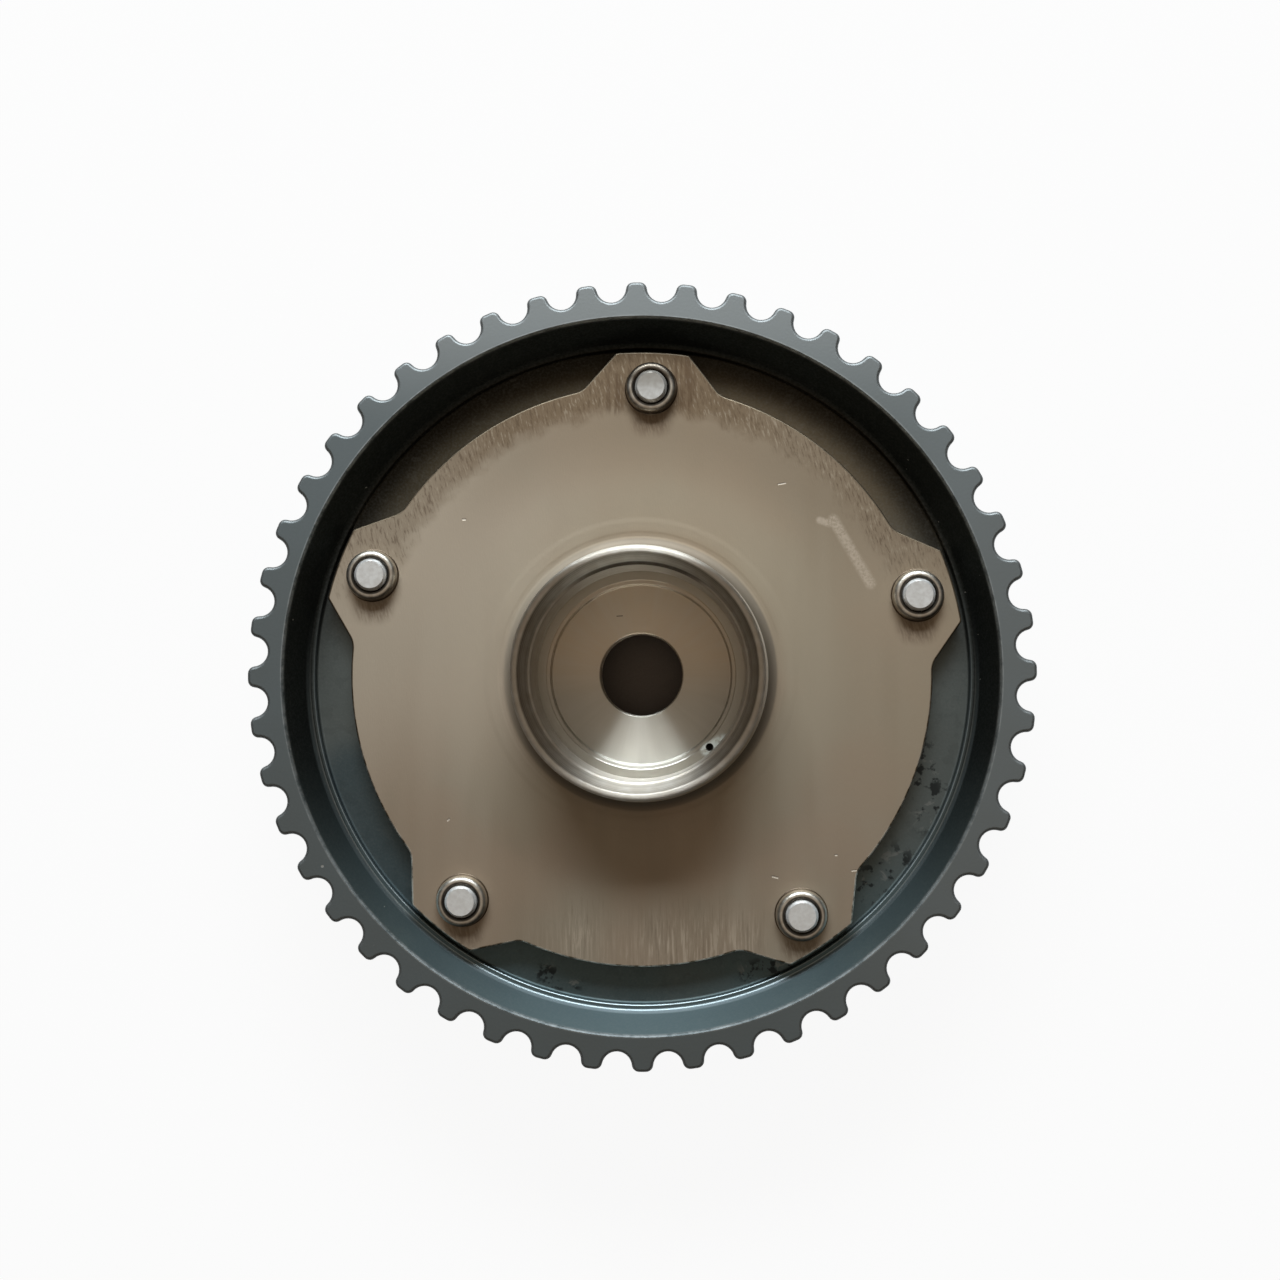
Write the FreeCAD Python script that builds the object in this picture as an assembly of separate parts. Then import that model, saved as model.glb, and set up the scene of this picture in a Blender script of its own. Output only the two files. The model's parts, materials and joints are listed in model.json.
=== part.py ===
import FreeCAD, Part
import math
import os

from FreeCAD import Vector

# Vane-type cam phaser with a toothed belt pulley.
# The pulley stands on its front face at z = 0, and its camshaft side faces +Z.
# Lengths are in millimetres and angles in degrees, anticlockwise seen from the camshaft side.

# Belt teeth: rounded gullets cut into a cylinder
tooth_count = 48
belt_pitch = 8.0
pitch_line_offset = 0.686
gullet_depth = 2.97
gullet_radius = 2.3
tip_corner_radius = 1.1
tooth_edge_bevel = 0.32
first_tooth_angle = 0.45
pulley_width = 27.0

# Rear recess of the pulley, from its open edge inwards
rim_edge_thickness = 2.56
rim_edge_bevel = 0.3
rim_taper = 2.6
ledge_width = 0.9
ledge_height = 1.0
rear_recess_depth = 7.8

# Front recess of the pulley
front_rim_thickness = 7.4
front_recess_depth = 7.2
front_edge_bevel = 0.6

# Rear cover plate with its lobes
lobe_count = 5
first_lobe_angle = 87.8
lobe_clearance = 1.0
lobe_end_half_width = 5.45
lobe_side_slope = 39.7
lobe_corner_radius = 0.8
lobe_root_radius = 3.5
cover_overlap = 4.6
rear_cover_thickness = 3.6
cover_edge_radius = 0.3

# Neck of the rear cover
journal_radius = 19.0
neck_height = 13.2
neck_wall = 2.7
neck_rim_land = 1.1
lead_in_depth = 3.8
neck_root_radius = 2.8
neck_outer_edge_radius = 0.7
neck_inner_edge_radius = 0.25

# Cover screws and the threaded collars that take them
screw_radius = 2.5
screw_edge_distance = 5.8
screw_hole_clearance = 0.25
thread_clearance = 0.05
screw_stick_out = 2.6
screw_end_bevel = 0.35
screw_head_radius = 4.5
screw_head_height = 2.4
screw_head_bevel = 0.5
screw_socket_width = 4.0
screw_socket_depth = 1.5
collar_wall = 1.4
collar_height = 2.0
collar_crown_radius = 0.8
collar_countersink = 0.3

# Face seals between the pulley and its two covers
seal_groove_width = 2.4
seal_groove_depth = 1.6
seal_side_clearance = 0.1
seal_edge_radius = 0.4
groove_to_hole_wall = 1.25
groove_to_chamber_wall = 1.7

# Front cover
front_cover_thickness = 3.8
front_cover_clearance = 0.4
front_cover_bevel = 0.5

# Plug that closes the front cover, and its seal
plug_thread_radius = 15.0
plug_flange_reach = 3.5
plug_flange_thickness = 2.6
plug_base_thickness = 2.0
plug_wall = 2.2
plug_end_gap = 0.3
plug_edge_bevel = 0.6
plug_socket_width = 12.0
plug_socket_depth = 2.4
plug_socket_wall = 1.6
plug_socket_floor = 1.4
plug_seal_width = 1.6
plug_seal_depth = 1.3
plug_seal_inset = 0.5

# Chambers and phasing
phase_range = 30.0
stop_clearance = 0.4
chamber_corner_radius = 0.5

# Rotor
face_clearance = 0.03
hub_clearance = 0.04
nose_step = 2.05
nose_recess_depth = 2.0
nose_bevel_width = 0.75
nose_bevel_depth = 0.2
bolt_hole_radius = 6.5
bolt_seat_thickness = 5.0
counterbore_radius = 12.0
hole_bevel = 0.4

# Oil ways of the rotor: ports beside each vane, and the vent of the lock pin bore
port_offset = 3.2
port_pocket_depth = 0.8
advance_port_radius = 0.75
retard_port_radius = 0.6
retard_port_rise = 0.2
vent_radius = 0.62
vent_inset = 1.45

# Vanes and the leaf springs under them
vane_thickness = 3.0
vane_side_clearance = 0.03
vane_tip_clearance = 0.05
vane_edge_bevel = 0.3
vane_slot_depth = 9.95
leaf_space = 1.6
leaf_thickness = 0.3
leaf_width = 2.4
leaf_end_gap = 0.6
leaf_clearance = 0.04

# Lock pin, its bush in the front cover, its spring and the spring's seat
lock_pin_lag = 30.6
lock_pin_radius = 2.8
lock_pin_travel = 2.4
lock_pin_bevel = 0.35
pin_running_clearance = 0.05
pin_tip_gap = 0.12
pin_head_step = 0.75
pin_head_length = 2.4
pin_head_gap = 0.3
pin_bore_radius = 2.05
pin_end_wall = 2.2
shoulder_clearance = 0.1
bush_wall = 1.25
bush_bore_clearance = 0.15
bush_height = 2.9
bush_to_thread_wall = 2.3
pin_to_hub_wall = 1.85
pocket_depth = 2.7
seat_thickness = 1.2
seat_side_clearance = 0.05
seat_peg_radius = 1.1
seat_peg_length = 2.0
seat_vent_radius = 0.5
spring_wire_radius = 0.25
spring_coil_radius = 1.6
spring_turns = 6
spring_end_clearance = 0.02

# Cutting tools reach this far past the solid, and edges are picked within these distances
overcut = 1.0
match_tolerance = 0.01
corner_tolerance = 0.15

# Radii that follow from the belt, from the rim inwards to the chambers
full_turn = 360.0
lobe_step = full_turn / lobe_count
tooth_step = full_turn / tooth_count
tip_radius = belt_pitch * tooth_count / (2 * math.pi) - pitch_line_offset
root_radius = tip_radius - gullet_depth
rim_edge_radius = root_radius - rim_edge_thickness
ledge_radius = rim_edge_radius - rim_taper
floor_radius = ledge_radius - ledge_width
front_recess_radius = root_radius - front_rim_thickness
lobe_radius = floor_radius - lobe_clearance
screw_circle_radius = lobe_radius - screw_edge_distance
screw_hole_radius = screw_radius + screw_hole_clearance
groove_outer_radius = screw_circle_radius - screw_hole_radius - groove_to_hole_wall
groove_inner_radius = groove_outer_radius - seal_groove_width
chamber_radius = groove_inner_radius - groove_to_chamber_wall
cover_radius = groove_outer_radius + cover_overlap
front_cover_radius = front_recess_radius - front_cover_clearance

# Radii that follow from the camshaft end and the plug, from the axis outwards to the hub
neck_bore_radius = journal_radius - neck_wall
lead_in_radius = journal_radius - neck_rim_land
nose_recess_radius = neck_bore_radius - nose_step
bush_bore_radius = lock_pin_radius + bush_bore_clearance
bush_radius = bush_bore_radius + bush_wall
lock_circle_radius = plug_thread_radius + bush_to_thread_wall + bush_radius
pin_head_radius = lock_pin_radius + pin_head_step
pin_head_bore_radius = pin_head_radius + pin_running_clearance
hub_radius = lock_circle_radius + pin_head_bore_radius + pin_to_hub_wall
slot_floor_radius = hub_radius - vane_slot_depth
vane_foot_radius = slot_floor_radius + leaf_space
vane_tip_radius = chamber_radius - vane_tip_clearance

# Heights, from the front face upwards
core_bottom = front_recess_depth
core_top = pulley_width - rear_recess_depth
plate_top = core_top + rear_cover_thickness
neck_top = plate_top + neck_height
front_cover_bottom = core_bottom - front_cover_thickness
plug_bottom = front_cover_bottom - plug_flange_thickness
rotor_bottom = core_bottom + face_clearance
rotor_top = core_top - face_clearance
nose_floor = rotor_top - nose_recess_depth
bolt_seat = nose_floor - bolt_seat_thickness
seat_bottom = rotor_top - seat_thickness
pin_head_top = seat_bottom - pin_head_gap
pin_shoulder = pin_head_top - pin_head_length
pin_step = pin_shoulder - lock_pin_travel - shoulder_clearance
pin_tip = rotor_bottom + pin_tip_gap
pin_bore_floor = pin_tip + pin_end_wall

# Angles of the chambers, the vanes at rest and the lock pin at rest
vane_half_angle = math.degrees(math.asin(vane_thickness / 2 / hub_radius))
chamber_half_angle = phase_range / 2 + vane_half_angle + stop_clearance
first_chamber_angle = first_lobe_angle + lobe_step / 2
first_vane_angle = first_chamber_angle + phase_range / 2
lock_pin_angle = first_vane_angle - 3 * lobe_step + lock_pin_lag

AXIS = Vector(0, 0, 1)
CENTRE = Vector(0, 0, 0)


def polar(radius, angle, height=0.0):
    """Point at a radius and an angle about the axis."""
    turn = math.radians(angle)
    return Vector(radius * math.cos(turn), radius * math.sin(turn), height)


def disc(radius, low, high):
    return Part.makeCylinder(radius, high - low, Vector(0, 0, low))


def ring(outer, inner, low, high):
    return disc(outer, low, high).cut(disc(inner, low, high))


def turned(profile):
    """Solid turned about the axis from corners given as (radius, height)."""
    corners = [Vector(radius, 0, height) for radius, height in profile]
    face = Part.Face(Part.makePolygon(corners + corners[:1]))
    return face.revolve(CENTRE, AXIS, full_turn)


def spun(shape, angle):
    """Copy turned about the axis."""
    copy = shape.copy()
    copy.rotate(CENTRE, AXIS, angle)
    return copy


def patterned(shape, count, first_angle):
    """Equally spaced copies of a shape that was drawn at angle 0."""
    return [spun(shape, first_angle + number * full_turn / count) for number in range(count)]


def moved_to(shape, radius, angle):
    """Copy of a shape drawn on the axis, moved out along a radius."""
    copy = shape.copy()
    copy.translate(polar(radius, angle))
    return copy


def hexagon(width, low, high):
    """Hexagonal prism on the axis, of a width across its flats."""
    corners = [polar(width / math.sqrt(3), number * full_turn / 6, low) for number in range(6)]
    return Part.Face(Part.makePolygon(corners + corners[:1])).extrude(Vector(0, 0, high - low))


def radial_hole(radius, inner, outer, angle, height):
    return Part.makeCylinder(radius, outer - inner, polar(inner, angle, height), polar(1, angle))


def edges_where(shape, wanted):
    return [edge for edge in shape.Edges if wanted(edge)]


def upright_at(radius):
    """Test for an edge that runs along the axis at a radius from it."""
    def wanted(edge):
        first, last = edge.Vertexes[0].Point, edge.Vertexes[-1].Point
        upright = math.dist(first[:2], last[:2]) < match_tolerance < abs(first.z - last.z)
        return upright and abs(math.hypot(first.x, first.y) - radius) < corner_tolerance
    return wanted


def level_at(height):
    """Test for an edge that lies flat at a height."""
    def wanted(edge):
        box = edge.BoundBox
        return box.ZLength < match_tolerance and abs(box.Center.z - height) < match_tolerance
    return wanted


def round_at(radius, height):
    """Test for a round edge about the axis at a radius and a height."""
    level = level_at(height)

    def wanted(edge):
        return level(edge) and abs(edge.BoundBox.XLength - 2 * radius) < match_tolerance
    return wanted


def softened(body, radius, places):
    """Body with its round edges at (radius, height) places filleted."""
    tests = [round_at(*place) for place in places]
    edges = edges_where(body, lambda edge: any(test(edge) for test in tests))
    return body.makeFillet(radius, edges)


def toothed_outline():
    """Closed outline of the belt teeth: tip land, corner, gullet and corner for each tooth."""
    gullet_centre = root_radius + gullet_radius
    corner_centre = tip_radius - tip_corner_radius
    reach = gullet_radius + tip_corner_radius
    spread = gullet_centre**2 + corner_centre**2 - reach**2
    corner_from_gullet = math.degrees(math.acos(spread / (2 * gullet_centre * corner_centre)))
    land_half_angle = tooth_step / 2 - corner_from_gullet
    edges = []
    for number in range(tooth_count):
        tooth = first_tooth_angle + number * tooth_step
        gullet = polar(gullet_centre, tooth + tooth_step / 2)
        leaving = polar(corner_centre, tooth + land_half_angle)
        arriving = polar(corner_centre, tooth + tooth_step - land_half_angle)
        land_start = polar(tip_radius, tooth - land_half_angle)
        land_end = polar(tip_radius, tooth + land_half_angle)
        flank_start = leaving + (gullet - leaving) * (tip_corner_radius / reach)
        flank_end = arriving + (gullet - arriving) * (tip_corner_radius / reach)
        next_land = polar(tip_radius, tooth + tooth_step - land_half_angle)
        out_turn = (land_end - leaving) + (flank_start - leaving)
        in_turn = (next_land - arriving) + (flank_end - arriving)
        leaving_middle = leaving + out_turn.normalize() * tip_corner_radius
        arriving_middle = arriving + in_turn.normalize() * tip_corner_radius
        gullet_bottom = polar(root_radius, tooth + tooth_step / 2)
        edges.append(Part.Arc(land_start, polar(tip_radius, tooth), land_end).toShape())
        edges.append(Part.Arc(land_end, leaving_middle, flank_start).toShape())
        edges.append(Part.Arc(flank_start, gullet_bottom, flank_end).toShape())
        edges.append(Part.Arc(flank_end, arriving_middle, next_land).toShape())
    return Part.Wire(edges)


def rear_recess():
    """Space inside the rear of the rim: bevelled edge, tapered wall, ledge and floor."""
    ledge_top = core_top + ledge_height
    return turned([
        (0, core_top),
        (floor_radius, core_top),
        (floor_radius, ledge_top),
        (ledge_radius, ledge_top),
        (rim_edge_radius, pulley_width - rim_edge_bevel),
        (rim_edge_radius + rim_edge_bevel, pulley_width),
        (0, pulley_width),
    ])


def front_recess():
    return turned([
        (0, 0),
        (front_recess_radius + front_edge_bevel, 0),
        (front_recess_radius, front_edge_bevel),
        (front_recess_radius, core_bottom),
        (0, core_bottom),
    ])


def toothed_blank():
    """Full-width toothed wheel with bevelled tooth edges."""
    blank = Part.Face(toothed_outline()).extrude(Vector(0, 0, pulley_width))
    ends = edges_where(blank, level_at(0)) + edges_where(blank, level_at(pulley_width))
    return blank.makeChamfer(tooth_edge_bevel, ends)


def chamber():
    """Oil chamber at angle 0, open to the hub, with rounded outer corners."""
    start = polar(chamber_radius, -chamber_half_angle, core_bottom)
    end = polar(chamber_radius, chamber_half_angle, core_bottom)
    rim = Part.Arc(start, polar(chamber_radius, 0, core_bottom), end).toShape()
    root = Vector(0, 0, core_bottom)
    wire = Part.Wire([Part.makeLine(root, start), rim, Part.makeLine(end, root)])
    wedge = Part.Face(wire).extrude(Vector(0, 0, core_top - core_bottom))
    corners = edges_where(wedge, upright_at(chamber_radius))
    return wedge.makeFillet(chamber_corner_radius, corners)


def seal_groove(low, high):
    return ring(groove_outer_radius, groove_inner_radius, low, high)


def make_pulley_stator():
    """Toothed rim, web ring and chamber webs in one sintered piece."""
    hub_space = disc(hub_radius + hub_clearance, core_bottom, core_top)
    screw_hole = moved_to(disc(screw_hole_radius, core_bottom, core_top), screw_circle_radius, 0)
    cuts = [rear_recess(), front_recess(), hub_space]
    cuts += patterned(chamber(), lobe_count, first_chamber_angle)
    cuts += patterned(screw_hole, lobe_count, first_lobe_angle)
    cuts.append(seal_groove(core_top - seal_groove_depth, core_top))
    cuts.append(seal_groove(core_bottom, core_bottom + seal_groove_depth))
    return toothed_blank().cut(cuts)


def lobe():
    """One lobe of the cover plate at angle 0, widening towards the axis."""
    slope = math.tan(math.radians(lobe_side_slope))
    outer = lobe_radius + overcut
    inner = cover_radius / 2
    outer_half = lobe_end_half_width - slope * overcut
    inner_half = lobe_end_half_width + slope * (lobe_radius - inner)
    corners = [
        Vector(outer, -outer_half, core_top),
        Vector(outer, outer_half, core_top),
        Vector(inner, inner_half, core_top),
        Vector(inner, -inner_half, core_top),
    ]
    return Part.Face(Part.makePolygon(corners + corners[:1])).extrude(AXIS * rear_cover_thickness)


def cover_plate():
    """Flat plate of the rear cover with rounded lobe ends and roots."""
    plate = disc(cover_radius, core_top, plate_top)
    plate = plate.fuse(patterned(lobe(), lobe_count, first_lobe_angle))
    plate = plate.common(disc(lobe_radius, core_top, plate_top)).removeSplitter()
    plate = plate.makeFillet(lobe_root_radius, edges_where(plate, upright_at(cover_radius)))
    plate = plate.makeFillet(lobe_corner_radius, edges_where(plate, upright_at(lobe_radius)))
    return plate.makeFillet(cover_edge_radius, edges_where(plate, level_at(plate_top)))


def collar():
    """Raised collar around one screw hole, on the axis until it is moved out."""
    radius = screw_radius + thread_clearance + collar_wall
    top = plate_top + collar_height
    return softened(disc(radius, core_top, top), collar_crown_radius, [(radius, top)])


def threaded_hole():
    """Hole through the plate and its collar, at the thread's crests, with a countersink."""
    radius = screw_radius + thread_clearance
    top = plate_top + collar_height
    return turned([
        (0, core_top),
        (radius, core_top),
        (radius, top - collar_countersink),
        (radius + collar_countersink, top),
        (0, top),
    ])


def make_rear_cover():
    """Cover plate with collars and the tubular neck for seal and camshaft."""
    neck = disc(journal_radius, core_top, neck_top)
    body = softened(cover_plate().fuse(neck), neck_root_radius, [(journal_radius, plate_top)])
    bore = turned([
        (0, core_top),
        (neck_bore_radius + hole_bevel, core_top),
        (neck_bore_radius, core_top + hole_bevel),
        (neck_bore_radius, neck_top - lead_in_depth),
        (lead_in_radius, neck_top),
        (0, neck_top),
    ])
    collars = patterned(moved_to(collar(), screw_circle_radius, 0), lobe_count, first_lobe_angle)
    holes = patterned(moved_to(threaded_hole(), screw_circle_radius, 0), lobe_count, first_lobe_angle)
    body = body.fuse(collars).cut([bore] + holes)
    body = softened(body, neck_outer_edge_radius, [(journal_radius, neck_top)])
    return softened(body, neck_inner_edge_radius, [(lead_in_radius, neck_top)])


def make_front_cover():
    """Round cover plate with a threaded opening, screw holes and two lock pockets."""
    plate = turned([
        (plug_thread_radius, front_cover_bottom),
        (front_cover_radius - front_cover_bevel, front_cover_bottom),
        (front_cover_radius, front_cover_bottom + front_cover_bevel),
        (front_cover_radius, core_bottom),
        (plug_thread_radius, core_bottom),
    ])
    screw_hole = disc(screw_hole_radius, front_cover_bottom, core_bottom)
    screw_hole = moved_to(screw_hole, screw_circle_radius, 0)
    bush_seat = disc(bush_radius, core_bottom - bush_height, core_bottom)
    far_pocket = disc(bush_bore_radius, core_bottom - pocket_depth, core_bottom)
    cuts = patterned(screw_hole, lobe_count, first_lobe_angle)
    cuts.append(moved_to(bush_seat, lock_circle_radius, lock_pin_angle))
    cuts.append(moved_to(far_pocket, lock_circle_radius, lock_pin_angle - phase_range))
    return plate.cut(cuts)


def make_cover_screw():
    """Socket screw on the axis: head under the front cover, end above the collar."""
    head_top = front_cover_bottom
    head_bottom = head_top - screw_head_height
    tip = plate_top + screw_stick_out
    body = turned([
        (0, head_bottom),
        (screw_head_radius - screw_head_bevel, head_bottom),
        (screw_head_radius, head_bottom + screw_head_bevel),
        (screw_head_radius, head_top),
        (screw_radius, head_top),
        (screw_radius, tip - screw_end_bevel),
        (screw_radius - screw_end_bevel, tip),
        (0, tip),
    ])
    return body.cut(hexagon(screw_socket_width, head_bottom, head_bottom + screw_socket_depth))


def face_seal(low, high):
    """Rubber ring that fills its groove up to the cover."""
    outer = groove_outer_radius - seal_side_clearance
    inner = groove_inner_radius + seal_side_clearance
    places = [(outer, low), (outer, high), (inner, low), (inner, high)]
    return softened(ring(outer, inner, low, high), seal_edge_radius, places)


def make_closure_plug():
    """Threaded plug: flange outside, hollow shank inside, hexagon socket in a boss."""
    flange_radius = plug_thread_radius + plug_flange_reach
    shank_radius = plug_thread_radius - thread_clearance
    shank_top = core_bottom - plug_end_gap
    cup_radius = plug_thread_radius - plug_wall
    cup_floor = plug_bottom + plug_base_thickness
    boss_radius = plug_socket_width / math.sqrt(3) + plug_socket_wall
    boss_top = plug_bottom + plug_socket_depth + plug_socket_floor
    body = turned([
        (0, plug_bottom),
        (flange_radius - plug_edge_bevel, plug_bottom),
        (flange_radius, plug_bottom + plug_edge_bevel),
        (flange_radius, front_cover_bottom),
        (shank_radius, front_cover_bottom),
        (shank_radius, shank_top),
        (cup_radius, shank_top),
        (cup_radius, cup_floor),
        (boss_radius, cup_floor),
        (boss_radius, boss_top),
        (0, boss_top),
    ])
    socket = hexagon(plug_socket_width, plug_bottom, plug_bottom + plug_socket_depth)
    inner = plug_thread_radius + plug_seal_inset
    outer = inner + plug_seal_width + 2 * seal_side_clearance
    groove = ring(outer, inner, front_cover_bottom - plug_seal_depth, front_cover_bottom)
    return body.cut([socket, groove])


def make_plug_seal_ring():
    inner = plug_thread_radius + plug_seal_inset + seal_side_clearance
    outer = inner + plug_seal_width
    low = front_cover_bottom - plug_seal_depth
    body = ring(outer, inner, low, front_cover_bottom)
    return softened(body, seal_edge_radius, [(outer, low), (inner, low)])


def vane_slot():
    """Slot for the vane at angle 0, open at both faces of the rotor."""
    width = vane_thickness + 2 * vane_side_clearance
    length = hub_radius + overcut - slot_floor_radius
    corner = Vector(slot_floor_radius, -width / 2, rotor_bottom)
    return Part.makeBox(length, width, rotor_top - rotor_bottom, corner)


def lock_pin_bore():
    """Stepped bore on the axis: narrow at the front for the pin, wide behind for its head."""
    front = disc(lock_pin_radius + pin_running_clearance, rotor_bottom, pin_step)
    return front.fuse(disc(pin_head_bore_radius, pin_step, rotor_top))


def oil_port(radius, height, side):
    """Port parallel to the vane at angle 0, on one side of it, with a pocket up to the vane."""
    start = Vector(0, side * port_offset, height)
    bore = Part.makeCylinder(radius, hub_radius + overcut, start, Vector(1, 0, 0))
    corner = Vector(hub_radius - port_pocket_depth, min(0, side * port_offset), height - radius)
    pocket = Part.makeBox(port_pocket_depth + overcut, port_offset, 2 * radius, corner)
    return bore.fuse(pocket)


def oil_ways():
    """Ports on both sides of each vane, and the vent of the lock pin bore."""
    advance_height = (bolt_seat + nose_floor) / 2
    retard_height = nose_floor + retard_port_radius + retard_port_rise
    vent_circle_radius = nose_recess_radius + vent_inset
    vent_height = pin_step + 2 * vent_radius
    ways = patterned(oil_port(advance_port_radius, advance_height, 1), lobe_count, first_vane_angle)
    ways += patterned(oil_port(retard_port_radius, retard_height, -1), lobe_count, first_vane_angle)
    drop = disc(vent_radius, vent_height, rotor_top)
    ways.append(moved_to(drop, vent_circle_radius, lock_pin_angle))
    outer = hub_radius + overcut
    ways.append(radial_hole(vent_radius, vent_circle_radius, outer, lock_pin_angle, vent_height))
    return ways


def make_rotor():
    """Hub with vane slots, camshaft recess, bolt hole, bolt seat and lock pin bore."""
    body = turned([
        (counterbore_radius, rotor_bottom),
        (hub_radius, rotor_bottom),
        (hub_radius, rotor_top),
        (nose_recess_radius + nose_bevel_width, rotor_top),
        (nose_recess_radius, rotor_top - nose_bevel_depth),
        (nose_recess_radius, nose_floor),
        (bolt_hole_radius + hole_bevel, nose_floor),
        (bolt_hole_radius, nose_floor - hole_bevel),
        (bolt_hole_radius, bolt_seat),
        (counterbore_radius, bolt_seat),
    ])
    cuts = patterned(vane_slot(), lobe_count, first_vane_angle)
    cuts.append(moved_to(lock_pin_bore(), lock_circle_radius, lock_pin_angle))
    return body.cut(cuts + oil_ways())


def make_vane():
    """Flat vane at angle 0, with a rounded tip that follows the chamber wall."""
    length = vane_tip_radius + overcut - vane_foot_radius
    corner = Vector(vane_foot_radius, -vane_thickness / 2, rotor_bottom)
    blank = Part.makeBox(length, vane_thickness, rotor_top - rotor_bottom, corner)
    body = blank.common(disc(vane_tip_radius, rotor_bottom, rotor_top))
    foot = edges_where(body, upright_at(math.hypot(vane_foot_radius, vane_thickness / 2)))
    return body.makeChamfer(vane_edge_bevel, foot)


def make_vane_spring():
    """Bowed leaf spring at angle 0, between the slot's floor and the vane's foot."""
    low = rotor_bottom + leaf_end_gap
    high = rotor_top - leaf_end_gap
    middle = (low + high) / 2
    floor = slot_floor_radius + leaf_clearance
    crown = vane_foot_radius - leaf_clearance
    side = -leaf_width / 2
    outer_low = Vector(floor + leaf_thickness, side, low)
    outer_high = Vector(floor + leaf_thickness, side, high)
    inner_low = Vector(floor, side, low)
    inner_high = Vector(floor, side, high)
    outer = Part.Arc(outer_low, Vector(crown, side, middle), outer_high).toShape()
    inner = Part.Arc(inner_high, Vector(crown - leaf_thickness, side, middle), inner_low).toShape()
    high_end = Part.makeLine(outer_high, inner_high)
    low_end = Part.makeLine(inner_low, outer_low)
    wire = Part.Wire([outer, high_end, inner, low_end])
    return Part.Face(wire).extrude(Vector(0, leaf_width, 0))


def make_lock_bush():
    return ring(bush_radius, bush_bore_radius, core_bottom - bush_height, core_bottom)


def make_lock_pin():
    """Hollow stepped pin on the axis, drawn back into the rotor."""
    return turned([
        (0, pin_tip),
        (lock_pin_radius - lock_pin_bevel, pin_tip),
        (lock_pin_radius, pin_tip + lock_pin_bevel),
        (lock_pin_radius, pin_shoulder),
        (pin_head_radius, pin_shoulder),
        (pin_head_radius, pin_head_top),
        (pin_bore_radius, pin_head_top),
        (pin_bore_radius, pin_bore_floor),
        (0, pin_bore_floor),
    ])


def make_lock_spring_seat():
    """Disc with a vented peg that closes the pin bore and centres the spring."""
    radius = pin_head_bore_radius - seat_side_clearance
    return turned([
        (seat_vent_radius, seat_bottom - seat_peg_length),
        (seat_peg_radius, seat_bottom - seat_peg_length),
        (seat_peg_radius, seat_bottom),
        (radius, seat_bottom),
        (radius, rotor_top),
        (seat_vent_radius, rotor_top),
    ])


def make_lock_pin_spring():
    """Coil spring on the axis, between the bottom of the pin's bore and the seat."""
    low = pin_bore_floor + spring_wire_radius + spring_end_clearance
    high = seat_bottom - spring_wire_radius - spring_end_clearance
    helix = Part.makeHelix((high - low) / spring_turns, high - low, spring_coil_radius)
    section = Part.makeCircle(spring_wire_radius, Vector(spring_coil_radius, 0, 0), Vector(0, 1, 0))
    coil = Part.Wire(helix.Edges).makePipeShell([Part.Wire(section)], True, True)
    coil.translate(Vector(0, 0, low))
    return coil


def save(name, shape):
    shape.exportStep("parts/" + name + ".step")
    print(name, "volume", round(shape.Volume, 1), "solids", len(shape.Solids), "valid", shape.isValid())


def save_pattern(name, shape, first_angle):
    """One node for each copy around the axis, numbered from 1."""
    for number, copy in enumerate(patterned(shape, lobe_count, first_angle), 1):
        save(name + "_" + str(number), copy)


def main():
    os.makedirs("parts", exist_ok=True)
    save("pulley_stator", make_pulley_stator())
    save("rear_cover", make_rear_cover())
    save("front_cover", make_front_cover())
    save_pattern("cover_screw", moved_to(make_cover_screw(), screw_circle_radius, 0), first_lobe_angle)
    save("rear_seal_ring", face_seal(core_top - seal_groove_depth, core_top))
    save("front_seal_ring", face_seal(core_bottom, core_bottom + seal_groove_depth))
    save("closure_plug", make_closure_plug())
    save("plug_seal_ring", make_plug_seal_ring())
    save("lock_bush", moved_to(make_lock_bush(), lock_circle_radius, lock_pin_angle))
    save("rotor", make_rotor())
    save_pattern("vane", make_vane(), first_vane_angle)
    save_pattern("vane_spring", make_vane_spring(), first_vane_angle)
    save("lock_pin", moved_to(make_lock_pin(), lock_circle_radius, lock_pin_angle))
    save("lock_spring_seat", moved_to(make_lock_spring_seat(), lock_circle_radius, lock_pin_angle))
    save("lock_pin_spring", moved_to(make_lock_pin_spring(), lock_circle_radius, lock_pin_angle))


main()
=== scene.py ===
import json
from math import acos, asin, atan2, cos, hypot, pi, radians, sin, sqrt, tan

import bmesh
import bpy
from mathutils import Matrix, Vector


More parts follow.
